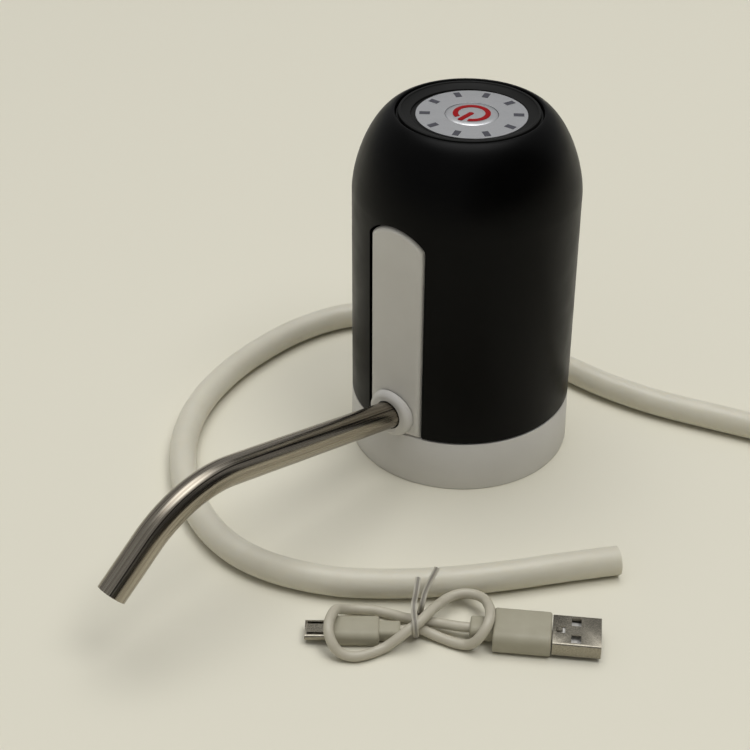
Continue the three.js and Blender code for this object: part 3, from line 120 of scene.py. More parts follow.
def moulded_plastic(name, colour, stain, roughness, grain=0.35, relief=0.006, cloud=9, spread=0.05, **values):
    """Injection-moulded plastic: a fine spark-eroded grain, and a skin whose shade and gloss drift a little
    from place to place where the mould and later handling have marked it. Sizes in millimetres. A real grain
    of about 0.1 mm is drawn three times as coarse, because it wouldn't show."""
    material, tree, shader, place = begin(name, **values)
    drift = node(tree, "ShaderNodeTexNoise", {"Vector": place, "Scale": 1 / (cloud * MM), "Detail": 4})
    fine = node(tree, "ShaderNodeTexNoise", {"Vector": place, "Scale": 1 / (grain * MM), "Detail": 2})
    shade = node(tree, "ShaderNodeMix", {0: drift.outputs[0], 6: linear(colour), 7: linear(stain)},
                 data_type="RGBA")
    gloss = node(tree, "ShaderNodeMapRange", {"Value": drift.outputs[0], "From Min": 0.3, "From Max": 0.7,
                                              "To Min": roughness - spread, "To Max": roughness + spread})
    bump = node(tree, "ShaderNodeBump", {"Height": fine.outputs[0], "Strength": 0.5, "Distance": relief * MM})
    tree.links.new(shade.outputs[2], shader.inputs["Base Color"])
    tree.links.new(gloss.outputs[0], shader.inputs["Roughness"])
    tree.links.new(bump.outputs[0], shader.inputs["Normal"])
    return material


def drawn_steel(name, colour, shade, roughness, lines=0.22, run=26, attribute=None, seam=None):
    """Steel that has been drawn or rolled through a die: fine lines that run one way, which stretch each
    highlight along them and leave darker hairlines. Real lines of about 0.05 mm are drawn coarser, because
    they wouldn't show. They follow Z of the attribute, or X of the piece. A welded tube has a seam as well: a
    dark line along it, at a place (x, y) of its section in millimetres."""
    material, tree, shader, place = begin(name, Metallic=1)
    if attribute:
        place = node(tree, "ShaderNodeAttribute", attribute_name=attribute).outputs["Vector"]
    across, along = 1 / (lines * MM), 1 / (run * MM)
    scale = (across, across, along) if attribute else (along, across, across)
    stretched = node(tree, "ShaderNodeMapping", {"Vector": place, "Scale": scale})
    hair = node(tree, "ShaderNodeTexNoise", {"Vector": stretched.outputs[0], "Scale": 1, "Detail": 3})
    wide = node(tree, "ShaderNodeTexNoise", {"Vector": stretched.outputs[0], "Scale": 0.3, "Detail": 2})
    tone = node(tree, "ShaderNodeMapRange", {"Value": wide.outputs[0], "From Min": 0.35, "From Max": 0.65})
    mixed = node(tree, "ShaderNodeMix", {0: tone.outputs[0], 6: linear(colour), 7: linear(shade)},
                 data_type="RGBA")
    gloss = node(tree, "ShaderNodeMapRange", {"Value": hair.outputs[0], "From Min": 0.3, "From Max": 0.7,
                                              "To Min": roughness * 0.75, "To Max": roughness * 1.35})
    bump = node(tree, "ShaderNodeBump", {"Height": hair.outputs[0], "Strength": 0.35, "Distance": 0.008 * MM})
    tree.links.new(mixed.outputs[2], shader.inputs["Base Color"])
    tree.links.new(gloss.outputs[0], shader.inputs["Roughness"])
    tree.links.new(bump.outputs[0], shader.inputs["Normal"])
    if seam:
        section = node(tree, "ShaderNodeVectorMath", {0: place, 1: (1, 1, 0)}, operation="MULTIPLY")
        away = node(tree, "ShaderNodeVectorMath", {0: section.outputs[0], 1: Vector((*seam, 0)) * MM},
                    operation="DISTANCE")
        weld = node(tree, "ShaderNodeMapRange", {"Value": away.outputs["Value"], "From Min": 0.1 * MM,
                                                 "From Max": 0.3 * MM})
        joined = node(tree, "ShaderNodeMix", {0: weld.outputs[0], 6: linear("#3a352f"), 7: mixed.outputs[2]},
                      data_type="RGBA")
        tree.links.new(joined.outputs[2], shader.inputs["Base Color"])
    return material


# Satin black ABS of the housing: deep black with a soft sheen that only shows towards the edges.
black_abs = moulded_plastic("satin black ABS, moulded", "#010101", "#020202", 0.36, relief=0.004,
                            **{"Specular IOR Level": 0.1})
# The bezel is the same plastic with a slightly coarser, greyer skin.
bezel_abs = moulded_plastic("matt black ABS, moulded", "#161615", "#1b1b1a", 0.5, **{"Specular IOR Level": 0.12})
# White ABS of strip, foot and collar: a warm off-white with a soft gloss.
white_abs = moulded_plastic("off-white ABS, moulded", "#d3d1cc", "#cbc8c2", 0.42, cloud=14)
# Grey-beige TPE over the plugs: soft, a little dusty, with no sharp gloss.
grip_tpe = moulded_plastic("warm grey TPE, overmoulded", "#a7a28f", "#9a9581", 0.55, cloud=4, relief=0.012)
# The lead's sheath is a paler, slightly glossier skin, as it leaves the extruder.
lead_tpe = moulded_plastic("warm grey TPE, extruded", "#bdb7a6", "#b0aa98", 0.36, cloud=4, relief=0.006)
# Stainless tube of the spout, welded along its upper side, drawn lengthwise and polished: long bands of the
# room in it, with the seam as a thin dark line.
spout_steel = drawn_steel("stainless steel tube, drawn", "#b0a99b", "#82796c", 0.25, attribute="unrolled",
                          seam=(2.23, 3.68))
# Nickel-plated sheet of the plugs' shells, rolled and tumbled: a bright metal with a fine, short grain.
shell_steel = drawn_steel("nickel-plated steel sheet, rolled", "#a39d8f", "#8e897c", 0.28, lines=0.12, run=0.16,
                          attribute="unrolled")


def print_finish(name, colour, shade, roughness, **values):
    """Ink or foil under a clear film: an even colour with fine flakes in it, and a film that isn't quite flat,
    so a light breaks up in it here and there."""
    material, tree, shader, place = begin(name, **values)
    flake = node(tree, "ShaderNodeTexNoise", {"Vector": place, "Scale": 1 / (0.5 * MM), "Detail": 3})
    mixed = node(tree, "ShaderNodeMix", {0: flake.outputs[0], 6: linear(colour), 7: linear(shade)},
                 data_type="RGBA")
    gloss = node(tree, "ShaderNodeMapRange", {"Value": flake.outputs[0], "To Min": roughness - 0.06,
                                              "To Max": roughness + 0.06})
    wave = node(tree, "ShaderNodeTexNoise", {"Vector": place, "Scale": 1 / (4 * MM), "Detail": 2})
    bump = node(tree, "ShaderNodeBump", {"Height": wave.outputs[0], "Strength": 0.5, "Distance": 0.22 * MM})
    tree.links.new(mixed.outputs[2], shader.inputs["Base Color"])
    tree.links.new(gloss.outputs[0], shader.inputs["Roughness"])
    tree.links.new(bump.outputs[0], shader.inputs["Normal"])
    return material


# Silver foil of the dial and of the button, which mirrors the room softly under its clear film.
dial_foil = print_finish("silver foil under clear film", "#e2e3e4", "#d3d4d6", 0.37, Metallic=1)
# Dark grey ink of the ticks and red ink of the power symbol: flat colours that stand out from the foil.
tick_ink = print_finish("dark grey ink", "#525258", "#47474d", 0.55, **{"Specular IOR Level": 0.1})
red_ink = print_finish("red ink under clear resin", "#9a0a0f", "#88080c", 0.5, **{"Specular IOR Level": 0.1})


def milky_plastic(name, colour, shade, roughness, cloud=12, core=None, **values):
    """Soft plastic that is milky right through: light goes into it and comes out blurred, so its shades are
    soft, with faint clouds. A wire along its middle shows through as a darker line of the core's colour."""
    material, tree, shader, place = begin(name, **values)
    haze = node(tree, "ShaderNodeTexNoise", {"Vector": place, "Scale": 1 / (cloud * MM), "Detail": 4})
    mixed = node(tree, "ShaderNodeMix", {0: haze.outputs[0], 6: linear(colour), 7: linear(shade)},
                 data_type="RGBA")
    gloss = node(tree, "ShaderNodeMapRange", {"Value": haze.outputs[0], "To Min": roughness - 0.06,
                                              "To Max": roughness + 0.06})
    tree.links.new(mixed.outputs[2], shader.inputs["Base Color"])
    tree.links.new(gloss.outputs[0], shader.inputs["Roughness"])
    if core:
        unrolled = node(tree, "ShaderNodeAttribute", attribute_name="unrolled").outputs["Vector"]
        across = node(tree, "ShaderNodeVectorMath", {0: unrolled, 1: (0, 1, 0)}, operation="MULTIPLY")
        away = node(tree, "ShaderNodeVectorMath", {0: across.outputs[0]}, operation="LENGTH")
        edge = node(tree, "ShaderNodeMapRange", {"Value": away.outputs["Value"], "From Min": 0.15 * MM,
                                                 "From Max": 0.45 * MM})
        seen = node(tree, "ShaderNodeMix", {0: edge.outputs[0], 6: linear(core), 7: mixed.outputs[2]},
                    data_type="RGBA")
        tree.links.new(seen.outputs[2], shader.inputs["Base Color"])
    return material


# Food-grade PVC of the hose, milky and half clear: light spreads in its wall, so its shades are soft.
hose_pvc = milky_plastic("milky PVC hose, extruded", "#d5d1c1", "#c9c4b3", 0.36,
                         **{"Subsurface Weight": 0.6, "Subsurface Radius": (1, 0.9, 0.75),
                            "Subsurface Scale": 2 * MM})
# The wire tie's plastic, thin and greyish, with its wire showing in the middle.
tie_plastic = milky_plastic("clear grey PE over wire, extruded", "#c9c4b5", "#bab5a5", 0.35, cloud=3,
                            core="#8f8a80", **{"Transmission Weight": 0.25})


def finished(name, bm, material, body="root", stands_for=()):
    """Puts a shape in the row frame as a piece that rides on a body, with creases only where faces turn
    sharply."""
    bmesh.ops.remove_doubles(bm, verts=bm.verts, dist=WELD)
    bmesh.ops.recalc_face_normals(bm, faces=bm.faces)
    for face in bm.faces:
        face.smooth = True
    for edge in bm.edges:
        edge.smooth = not (edge.is_manifold and edge.calc_face_angle() > math.radians(CREASE))
    bm.transform(PUMP)
    mesh = bpy.data.meshes.new(name)
    bm.to_mesh(mesh)
    bm.free()
    mesh.materials.append(material)
    piece = bpy.data.objects.new(name, mesh)
    scene.collection.objects.link(piece)
    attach(piece, body)
    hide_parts(*stands_for)
    return piece


def smooth_line(points, spacing):
    """Evenly spaced points of the curve that passes smoothly through the points given."""
    knots = [Vector(p) for p in points]
    knots = [2 * knots[0] - knots[1], *knots, 2 * knots[-1] - knots[-2]]
    dense = []
    for a, b, c, d in zip(knots, knots[1:], knots[2:], knots[3:]):
        t1 = (b - a).length ** 0.5
        t2 = t1 + (c - b).length ** 0.5
        t3 = t2 + (d - c).length ** 0.5
        for i in range(12):
            t = t1 + (t2 - t1) * i / 12
            ab, bc, cd = a.lerp(b, t / t1), b.lerp(c, (t - t1) / (t2 - t1)), c.lerp(d, (t - t2) / (t3 - t2))
            abc, bcd = ab.lerp(bc, t / t2), bc.lerp(cd, (t - t1) / (t3 - t1))
            dense.append(abc.lerp(bcd, (t - t1) / (t2 - t1)))
    dense.append(knots[-2])
    lengths = [0]
    for a, b in zip(dense, dense[1:]):
        lengths.append(lengths[-1] + (b - a).length)
    count = round(lengths[-1] / spacing)
    line, i = [], 0
    for step in range(count + 1):
        goal = lengths[-1] * step / count
        while i < len(dense) - 2 and lengths[i + 1] < goal:
            i += 1
        line.append(dense[i].lerp(dense[i + 1], (goal - lengths[i]) / (lengths[i + 1] - lengths[i])))
    return line, lengths[-1]


def stations(line, up):
    """A frame at each point of the line, with Z along it, carried from one to the next without a twist."""
    along = [(b - a).normalized() for a, b in zip(line, line[1:])]
    along = [along[0], *[(a + b).normalized() for a, b in zip(along, along[1:])], along[-1]]
    side = up.cross(along[0]).normalized()
    frames = []
    for i, (place, z) in enumerate(zip(line, along)):
        if i:
            side = along[i - 1].rotation_difference(z) @ side
        y = z.cross(side).normalized()
        frames.append(Matrix.Translation(place) @ Matrix((y.cross(z), y, z)).transposed().to_4x4())
    return frames


def swept(bm, frames, section):
    """Extrudes a closed section from frame to frame. Returns the edges of its first and its last ring.
    Each vertex keeps, as its attribute, where it would be if the piece were laid out straight."""
    unrolled = bm.verts.layers.float_vector.get("unrolled") or bm.verts.layers.float_vector.new("unrolled")
    ring = [bm.verts.new(frames[0] @ Vector((x, y, 0))) for x, y in section]
    for vert, (x, y) in zip(ring, section):
        vert[unrolled] = Vector((x, y, 0)) * MM
    first = edges = [bm.edges.new((ring[i - 1], ring[i])) for i in range(len(ring))]
    run = 0
    for before, after in zip(frames, frames[1:]):
        run += (after.translation - before.translation).length
        made = bmesh.ops.extrude_edge_only(bm, edges=edges)["geom"]
        ring = {g for g in made if isinstance(g, bmesh.types.BMVert)}
        edges = [g for g in made if isinstance(g, bmesh.types.BMEdge) and set(g.verts) <= ring]
        bmesh.ops.transform(bm, matrix=after @ before.inverted(), verts=list(ring))
        for vert in ring:
            vert[unrolled] = Vector((*vert[unrolled].xy, run * MM))
    return first, edges


def circle(radius, count):
    """A round section for a sweep."""
    return [(radius * math.cos(TURN * i / count), radius * math.sin(TURN * i / count)) for i in range(count)]


# Cords: the hose and the charging lead, lying on the floor beside the pump, by the routes of the CAD source
HOSE_R, HOSE_BORE, LEAD_R = 4.3, 3.0, 1.45
HOSE_ROUTE = [
    (80.7, -28.7), (70.4, -41.4), (59.2, -55.6), (49.2, -66.9), (37.0, -78.6), (24.6, -88.0), (12.9, -93.7),
    (3.0, -96.6), (-7.0, -97.5), (-18.0, -95.9), (-29.2, -91.8), (-40.2, -85.9), (-50.0, -78.0),
    (-58.8, -68.8), (-65.4, -59.0), (-69.8, -50.0), (-73.6, -38.3), (-76.3, -19.7), (-74.8, 4.5),
    (-67.8, 22.6), (-55.6, 34.0), (-39.4, 41.2), (-21.0, 44.8), (-3.5, 45.6), (14.5, 45.3), (26.0, 45.0),
    (33.8, 45.5), (44.7, 47.0), (54.8, 49.4), (77.3, 55.9), (93.0, 60.4), (111.0, 63.0), (129.0, 62.0),
    (146.0, 55.0), (159.0, 43.0), (167.0, 27.0), (169.0, 9.0), (165.0, -8.0),
]
LEAD_ROUTE = [
    (49.4, -91.1, 2.6), (51.5, -89.2, 2.9), (53.6, -87.4, 2.9), (56, -86.3, 2.2), (58.7, -85.5, 1.7),
    (61.4, -84.9, 1.6), (64.1, -84.2, 1.6), (66.7, -83.3, 2.1), (68.8, -82.6, 3.8), (69.9, -81.2, 5.9),
    (70.1, -79, 7.6), (69.3, -76.5, 8.5), (67.7, -74.2, 8.4), (66, -72.1, 7.6), (64.1, -70.3, 6.6),
    (62, -68.7, 5.8), (59.4, -67.9, 5.1), (56.7, -68.4, 4.8), (54.4, -70, 4.6), (53, -72.4, 4.4),
    (52.5, -75.1, 4.6), (52.6, -77.9, 5), (53, -80.6, 5.7), (53.4, -83.3, 6.2), (53.7, -86.1, 6.3),
    (53.8, -88.9, 6.2), (53.2, -91.6, 5.8), (52.4, -94, 4.7), (51.3, -96.2, 3.3), (50.1, -98.4, 2.1),
    (48.9, -100.9, 1.6), (47.7, -103.5, 1.6), (46.2, -105.8, 1.6), (44, -107.5, 1.8), (41.7, -108.6, 2.9),
    (39.7, -108.8, 4.8), (37.7, -107.9, 6.5), (35.9, -105.9, 7.4), (34.5, -103.5, 7.3), (33.3, -101.1, 6.8),
    (32.4, -98.6, 5.8), (32.2, -96.3, 4.1), (32.6, -94, 2.7), (33.9, -91.7, 1.8), (36, -89.9, 1.6),
    (38.4, -88.4, 1.6), (41, -87.4, 1.6), (43.7, -86.5, 1.8), (46.4, -86, 2.1), (49.1, -85.5, 2.7),
    (51.7, -84.6, 3), (54.1, -83.1, 2.8), (56.6, -81.8, 2.9), (59.2, -80.9, 3.2), (61.8, -79.8, 3.4),
    (64.2, -78.4, 3.5),
]
UP = Vector((0, 0, 1))


def hose():
    """The suction hose, cut square at both ends, with its bore open."""
    line, length = smooth_line([(x, y, HOSE_R) for x, y in HOSE_ROUTE], 2.5)
    frames = stations(line, UP)
    bm = bmesh.new()
    ends = swept(bm, frames, circle(HOSE_R, 40))
    bores = swept(bm, frames, circle(HOSE_BORE, 40))
    for end, bore in zip(ends, bores):
        bmesh.ops.bridge_loops(bm, edges=end + bore)
    piece = finished("hose_tube", bm, hose_pvc, stands_for=["hose"])


def lead(with_pieces):
    """The charging lead in its two loops. The plugs and the tie that hang on it, given as with_pieces, are not used
    here.
    """
    line, length = smooth_line(LEAD_ROUTE, 0.8)
    bm = bmesh.new()
    for end in swept(bm, stations(line, UP), circle(LEAD_R, 24)):
        bmesh.ops.edgeloop_fill(bm, edges=end)
    piece = finished("charging_lead", bm, lead_tpe, stands_for=["usb_cable"])


def softened(bm, edges, width, steps=3):
    """Rounds the edges given over a width."""
    bmesh.ops.bevel(bm, geom=edges, offset=width, offset_type="OFFSET", segments=steps, profile=0.5,
                    affect="EDGES", clamp_overlap=True, material=-1)


def corners(edges):
    """Those of the edges where two faces meet in a corner."""
    return [e for e in edges if e.is_manifold and e.calc_face_angle() > math.radians(CORNER)]


def turned(outline, steps=ROUND):
    """A revolve about Z of points (radius, height), closed unless it starts and ends on the axis."""
    bm = bmesh.new()
    verts = [bm.verts.new((r, 0, z)) for r, z in outline]
    edges = [bm.edges.new(pair) for pair in zip(verts, verts[1:])]
    if outline[0][0] > 0 and outline[-1][0] > 0:
        edges.append(bm.edges.new((verts[-1], verts[0])))
    bmesh.ops.spin(bm, geom=verts + edges, cent=(0, 0, 0), axis=(0, 0, 1), angle=TURN, steps=steps,
                   use_merge=True)
    bmesh.ops.remove_doubles(bm, verts=bm.verts, dist=WELD)
    bmesh.ops.recalc_face_normals(bm, faces=bm.faces)
    return bm


def carved(bm, tool, operation="DIFFERENCE"):
    """The shape cut by the tool, or joined with it."""
    pair = []
    for shape in (bm, tool):
        mesh = bpy.data.meshes.new("carving")
        shape.to_mesh(mesh)
        shape.free()
        pair.append(bpy.data.objects.new("carving", mesh))
        scene.collection.objects.link(pair[-1])
    cut = pair[0].modifiers.new("cut", "BOOLEAN")
    cut.operation, cut.solver, cut.object = operation, "EXACT", pair[1]
    bpy.context.view_layer.update()
    result = bmesh.new()
    result.from_object(pair[0], bpy.context.evaluated_depsgraph_get())
    for made in pair:
        bpy.data.meshes.remove(made.data)
    return result


def block(bm, low, high, corner=0.0, axis=0, edge=0.0, steps=5):
    """A block between two corners, its edges along one axis rounded by corner, then the edges that remain by
    edge."""
    low, high = Vector(low), Vector(high)
    size = high - low
    place = Matrix.Translation((low + high) / 2) @ Matrix.Diagonal((*size, 1))
    verts = bmesh.ops.create_cube(bm, size=1, matrix=place)["verts"]
    own = {e for v in verts for e in v.link_edges}
    before = set(bm.faces) - {f for v in verts for f in v.link_faces}
    if corner:
        runs = [e for e in own if abs((e.verts[0].co - e.verts[1].co)[axis]) > 0.9 * size[axis]]
        softened(bm, runs, corner, steps)
    if edge:
        own = {e for f in set(bm.faces) - before for e in f.edges}
        softened(bm, corners(own), edge)


def dome(inset, steps):
    """The housing's profile from shoulder to rim, set in by some thickness."""
    rim, shoulder, rise = RIM_R + inset, SHOULDER_R - inset, TOP_Z - inset - SHOULDER_Z
    points = []
    for i in range(steps + 1):
        angle = math.pi / 2 * i / steps
        out = 0 if i == steps else math.cos(angle) ** (2 / DOME_POWER)
        points.append((rim + (shoulder - rim) * out, SHOULDER_Z + rise * math.sin(angle) ** (2 / DOME_POWER)))
    return points


def skin_radius(z, inset=0.0):
    """The radius of the housing's straight, slightly tapered wall."""
    return SEAM_R + (SHOULDER_R - SEAM_R) * (z - SEAM_Z) / (SHOULDER_Z - SEAM_Z) - inset


def strip_outline(grow, low):
    """Half of the strip's outline in front view, from its foot up to its crown, as points (x, z)."""
    arch_z = STRIP_CROWN - STRIP_ARCH
    corner_x = STRIP_HALF - STRIP_CORNER
    corner_z = arch_z + math.sqrt((STRIP_ARCH - STRIP_CORNER) ** 2 - corner_x ** 2)
    lean = math.atan2(corner_z - arch_z, corner_x)
    side, corner, arch = STRIP_HALF + grow, STRIP_CORNER + grow, STRIP_ARCH + grow
    points = [(side, low + (corner_z - low) * i / 24) for i in range(24)]
    points += [(corner_x + corner * math.cos(lean * i / 6), corner_z + corner * math.sin(lean * i / 6))
               for i in range(6)]
    for i in range(16):
        angle = lean + (math.pi / 2 - lean) * i / 16
        points.append((arch * math.cos(angle), arch_z + arch * math.sin(angle)))
    return points + [(0, arch_z + arch)]


def strip_prism(grow, low, flare=1.1, deep=60):
    """The strip's outline as a block that runs through the front wall, wider at the wall's lower edge, so that
    the corners left beside it are rounded."""
    bm = bmesh.new()
    side, start = STRIP_HALF + grow, SEAM_Z + flare
    half = [(side + flare, low)]
    half += [(side + flare - flare * math.sin(a), start - flare * math.cos(a))
             for a in (math.pi / 2 * i / 8 for i in range(8))]
    half += [(x, z) for x, z in strip_outline(grow, low) if z >= start]
    outline = half + [(-x, z) for x, z in reversed(half[:-1])]
    face = bm.faces.new([bm.verts.new((x, -deep, z)) for x, z in outline])
    made = bmesh.ops.extrude_face_region(bm, geom=[face])["geom"]
    bmesh.ops.translate(bm, verts=[g for g in made if isinstance(g, bmesh.types.BMVert)], vec=(0, deep - 20, 0))
    bmesh.ops.recalc_face_normals(bm, faces=bm.faces)
    return bm


def snap_bead(radius):
    """The bead that clips housing and foot together."""
    return [(radius, 18.5), (radius + 0.45, 19.1), (radius, 19.7)]


def housing():
    """A thin shell with the recess for the dial on top, the strip's slot in front and the charging opening,
    in a shallow pocket, at the back."""
    collar, inner = RIM_R + WALL, SEAM_R - WALL
    lip = [(RIM_R + 0.6, TOP_Z - 0.13), (RIM_R + 0.35, TOP_Z - 0.15), (RIM_R + 0.16, TOP_Z - 0.25),
           (RIM_R + 0.04, TOP_Z - 0.43), (RIM_R, TOP_Z - 0.7)]
    outline = [(SEAM_R - 0.25, SEAM_Z), (SEAM_R, SEAM_Z + 0.25), *dome(0, 40)[:-3], *lip, (RIM_R, RECESS_Z),
               (RECESS_HOLE, RECESS_Z), (RECESS_HOLE, RECESS_Z - RECESS_FLOOR),
               (collar, RECESS_Z - RECESS_FLOOR), *reversed(dome(WALL, 10)), *reversed(snap_bead(inner)),
               (inner, SEAM_Z)]
    bm = carved(turned(outline), strip_prism(SLOT_GAP, SEAM_Z - 5))
    tool = bmesh.new()
    block(tool, (-4.2, 25, 36.2), (4.2, 40, 39.8), corner=1.5, axis=1)
    bm = carved(bm, tool)
    tool = bmesh.new()
    block(tool, (-6, 34, 34), (6, 40, 42), corner=2, axis=1)
    bm = carved(bm, tool)
    finished("housing", bm, black_abs, stands_for=["upper_housing"])


def strip():
    """The strip is laid out flat from rungs, its rim rounded over, then wrapped on the housing's wall."""
    bm = bmesh.new()
    levels = [(0, 3.7), (0, 1.3), (-0.15, 0.75), (-0.45, 0.33), (-0.9, 0.09), (-1.4, 0)]
    loops = []
    for grow, inset in levels:
        half = strip_outline(grow, SEAM_Z - 0.25 - grow)
        outline = half + [(-x, z) for x, z in reversed(half[:-1])]
        verts = [bm.verts.new((x, inset, z)) for x, z in outline]
        loops.append([bm.edges.new((verts[i - 1], verts[i])) for i in range(len(verts))])
        if len(loops) in (1, len(levels)):
            count = len(verts)
            for i in range(count // 2):
                rung = [verts[i], verts[i + 1], verts[count - 2 - i], verts[count - 1 - i]]
                bm.faces.new(list(dict.fromkeys(rung)))
    for outer, inner in zip(loops, loops[1:]):
        bmesh.ops.bridge_loops(bm, edges=outer + inner)
    for i in range(-4, 5):          # lengthwise cuts, along which the flat face bends
        bmesh.ops.bisect_plane(bm, geom=[*bm.verts, *bm.edges, *bm.faces], plane_co=(2 * i, 0, 0),
                               plane_no=(1, 0, 0), dist=WELD)
    for vert in bm.verts:
        x, inset, z = vert.co
        vert.co.y = -math.sqrt(skin_radius(z, inset) ** 2 - x ** 2)
    bmesh.ops.recalc_face_normals(bm, faces=bm.faces)
    notch = turned([(0, 0), (6.2, 0), (6.2, 30), (0, 30)], SMALL)
    bmesh.ops.rotate(notch, cent=(0, 0, 0), matrix=Matrix.Rotation(math.pi / 2, 3, "X"), verts=notch.verts)
    bmesh.ops.translate(notch, verts=notch.verts, vec=(0, -12, OUTLET_Z))
    finished("front_strip", carved(bm, notch), white_abs, stands_for=["front_panel"])


def foot():
    """A ring with a deck across it, a tongue that goes up into the housing, and a ring of ribs that grips the
    bottle's neck."""
    tongue, base = SEAM_R - WALL - 0.3, 35.3
    bm = turned([(base - 0.6, 0), (base - 0.15, 0.15), (base, 0.6), (SEAM_R, 16.85), (SEAM_R - 0.13, 17.17),
                 (SEAM_R - 0.45, 17.3), (tongue, 17.3), *snap_bead(tongue), (tongue, 20.6), (tongue - 1.4, 20.6),
                 (tongue - 1.4, 13.2), (3.9, 13.2), (3.9, 11.2), (28.2, 11.2), (28.2, 1), (30, 1), (30, 9),
                 (33, 9), (33, 0)])
    for i in range(RIBS):
        rib = bmesh.new()
        block(rib, (27.5, -0.8, 2), (29.1, 0.8, 12.2), corner=0.3, axis=2, steps=2)
        bmesh.ops.rotate(rib, cent=(0, 0, 0), matrix=Matrix.Rotation(TURN * (i + 0.5) / RIBS, 3, "Z"),
                         verts=rib.verts)
        mesh = bpy.data.meshes.new("rib")
        rib.to_mesh(mesh)
        rib.free()
        bm.from_mesh(mesh)
        bpy.data.meshes.remove(mesh)
    gap = bmesh.new()
    block(gap, (-13.2, -36, 17.3), (13.2, -15, 22))
    finished("foot", carved(bm, gap), white_abs, stands_for=["base_ring"])


OUTLET = Matrix.Translation((0, OUTLET_Y, OUTLET_Z)) @ Matrix.Rotation(math.pi / 2 - OUTLET_RISE, 4, "X")
LEVEL = Matrix.Translation((0, OUTLET_Y, OUTLET_Z)) @ Matrix.Rotation(math.pi / 2, 4, "X")


def collar():
    """A rounded ring on the strip, with the socket behind it that the spout turns in."""
    radius, rounding = 7.86, 2.0
    arc = [(radius - rounding + rounding * math.cos(math.pi / 2 * i / 10),
            -rounding + rounding * math.sin(math.pi / 2 * i / 10)) for i in range(11)]
    flange = turned([(0, -3.4), (radius, -3.4), *arc, (0, 0)], SMALL + 32)
    flange.transform(LEVEL)
    flange = carved(flange, turned([(0, 0), (SEAM_R + 0.3, 0), (SEAM_R + 0.3, 60), (0, 60)]))
    body = turned([(0, -20.3), (1.6, -20.3), (2.2, -17.9), (1.9, -17.8), (1.9, -14), (7, -14), (7, -6),
                   (5.9, -6), (5.9, -1), (0, -1)], SMALL)
    body.transform(OUTLET)
    flange = carved(flange, body, "UNION")
    bore = turned([(0, -21), (1.3, -21), (1.3, -12.6), (SPOUT_BORE, -12.6), (SPOUT_BORE, 8), (0, 8)], SMALL)
    bore.transform(OUTLET)
    finished("collar", carved(flange, bore), white_abs, stands_for=["outlet_socket"])


def spout():
    """A straight stainless tube with one bend near its end. The bend turns downwards."""
    straight, bend_radius, bend, end = 70.4, 33.7, math.radians(56.1), 16.6
    line = [Vector((0, 0, z)) for z in (-12.3, -12, 0, *range(4, 70, 6), straight)]
    for i in range(1, 25):
        angle = bend * i / 24
        line.append(Vector((0, -bend_radius * (1 - math.cos(angle)), straight + bend_radius * math.sin(angle))))
    down = Vector((0, -math.sin(bend), math.cos(bend)))
    line += [line[-1] + down * s for s in (4, 8, 12, end - 0.2, end)]
    place = OUTLET @ Matrix.Rotation(math.radians(-6.66), 4, "Z")
    frames = [place @ f for f in stations(line, Vector((0, 1, 0)))]
    bm = bmesh.new()
    ends = swept(bm, frames, circle(SPOUT_R, SMALL))
    bores = swept(bm, frames, circle(SPOUT_R - SPOUT_WALL, SMALL))
    for tip, bore in zip(ends, bores):
        bmesh.ops.bridge_loops(bm, edges=tip + bore)
    bmesh.ops.recalc_face_normals(bm, faces=bm.faces)
    softened(bm, corners(bm.edges), 0.12, 2)
    finished("spout_tube", bm, spout_steel, "spout", ["spout"])


def bezel():
    """A dished ring with a raised lip, a narrow groove away from the housing."""
    outer, inner, lip, groove = RIM_R - 0.3, BUTTON_R + 1, 17.3, 21.05
    bm = turned([(inner, RECESS_Z), (outer, RECESS_Z), (outer, 112.2), (groove, 112.2), (groove, 113.2),
                 (groove - 0.06, 113.38), (groove - 0.25, 113.5), (20.35, 113.5), (20.2, 113.46), (20.1, 113.36),
                 (20.05, 113.2), (19.6, 112.92), (18.8, 112.6), (17.9, 112.4), (lip + 0.2, 112.34),
                 (lip + 0.05, 112.28), (lip, 112.15), (lip, DIAL_SEAT), (inner, DIAL_SEAT)])
    finished("bezel", bm, bezel_abs, stands_for=["top_bezel"])


def dial():
    """The foil disc with its printed ticks."""
    hole = BUTTON_R + 0.12
    bm = turned([(hole, DIAL_SEAT), (DIAL_R, DIAL_SEAT), (DIAL_R, DIAL_TOP), (hole, DIAL_TOP)], 128)
    bmesh.ops.translate(bm, verts=bm.verts, vec=DIAL_SLIP)
    finished("dial", bm, dial_foil, stands_for=["dial_plate"])
    bm = bmesh.new()
    for i in range(TICKS):
        angle = TURN * (i + 0.5) / TICKS + TICK_TURN
        place = Matrix.Rotation(angle, 4, "Z") @ Matrix.Translation((0, -TICK_R, DIAL_TOP + INK / 4))
        bmesh.ops.create_cube(bm, size=1, matrix=place @ Matrix.Diagonal((TICK_WIDE, TICK_LONG, INK, 1)))
    bmesh.ops.translate(bm, verts=bm.verts, vec=DIAL_SLIP)
    finished("dial_ticks", bm, tick_ink)


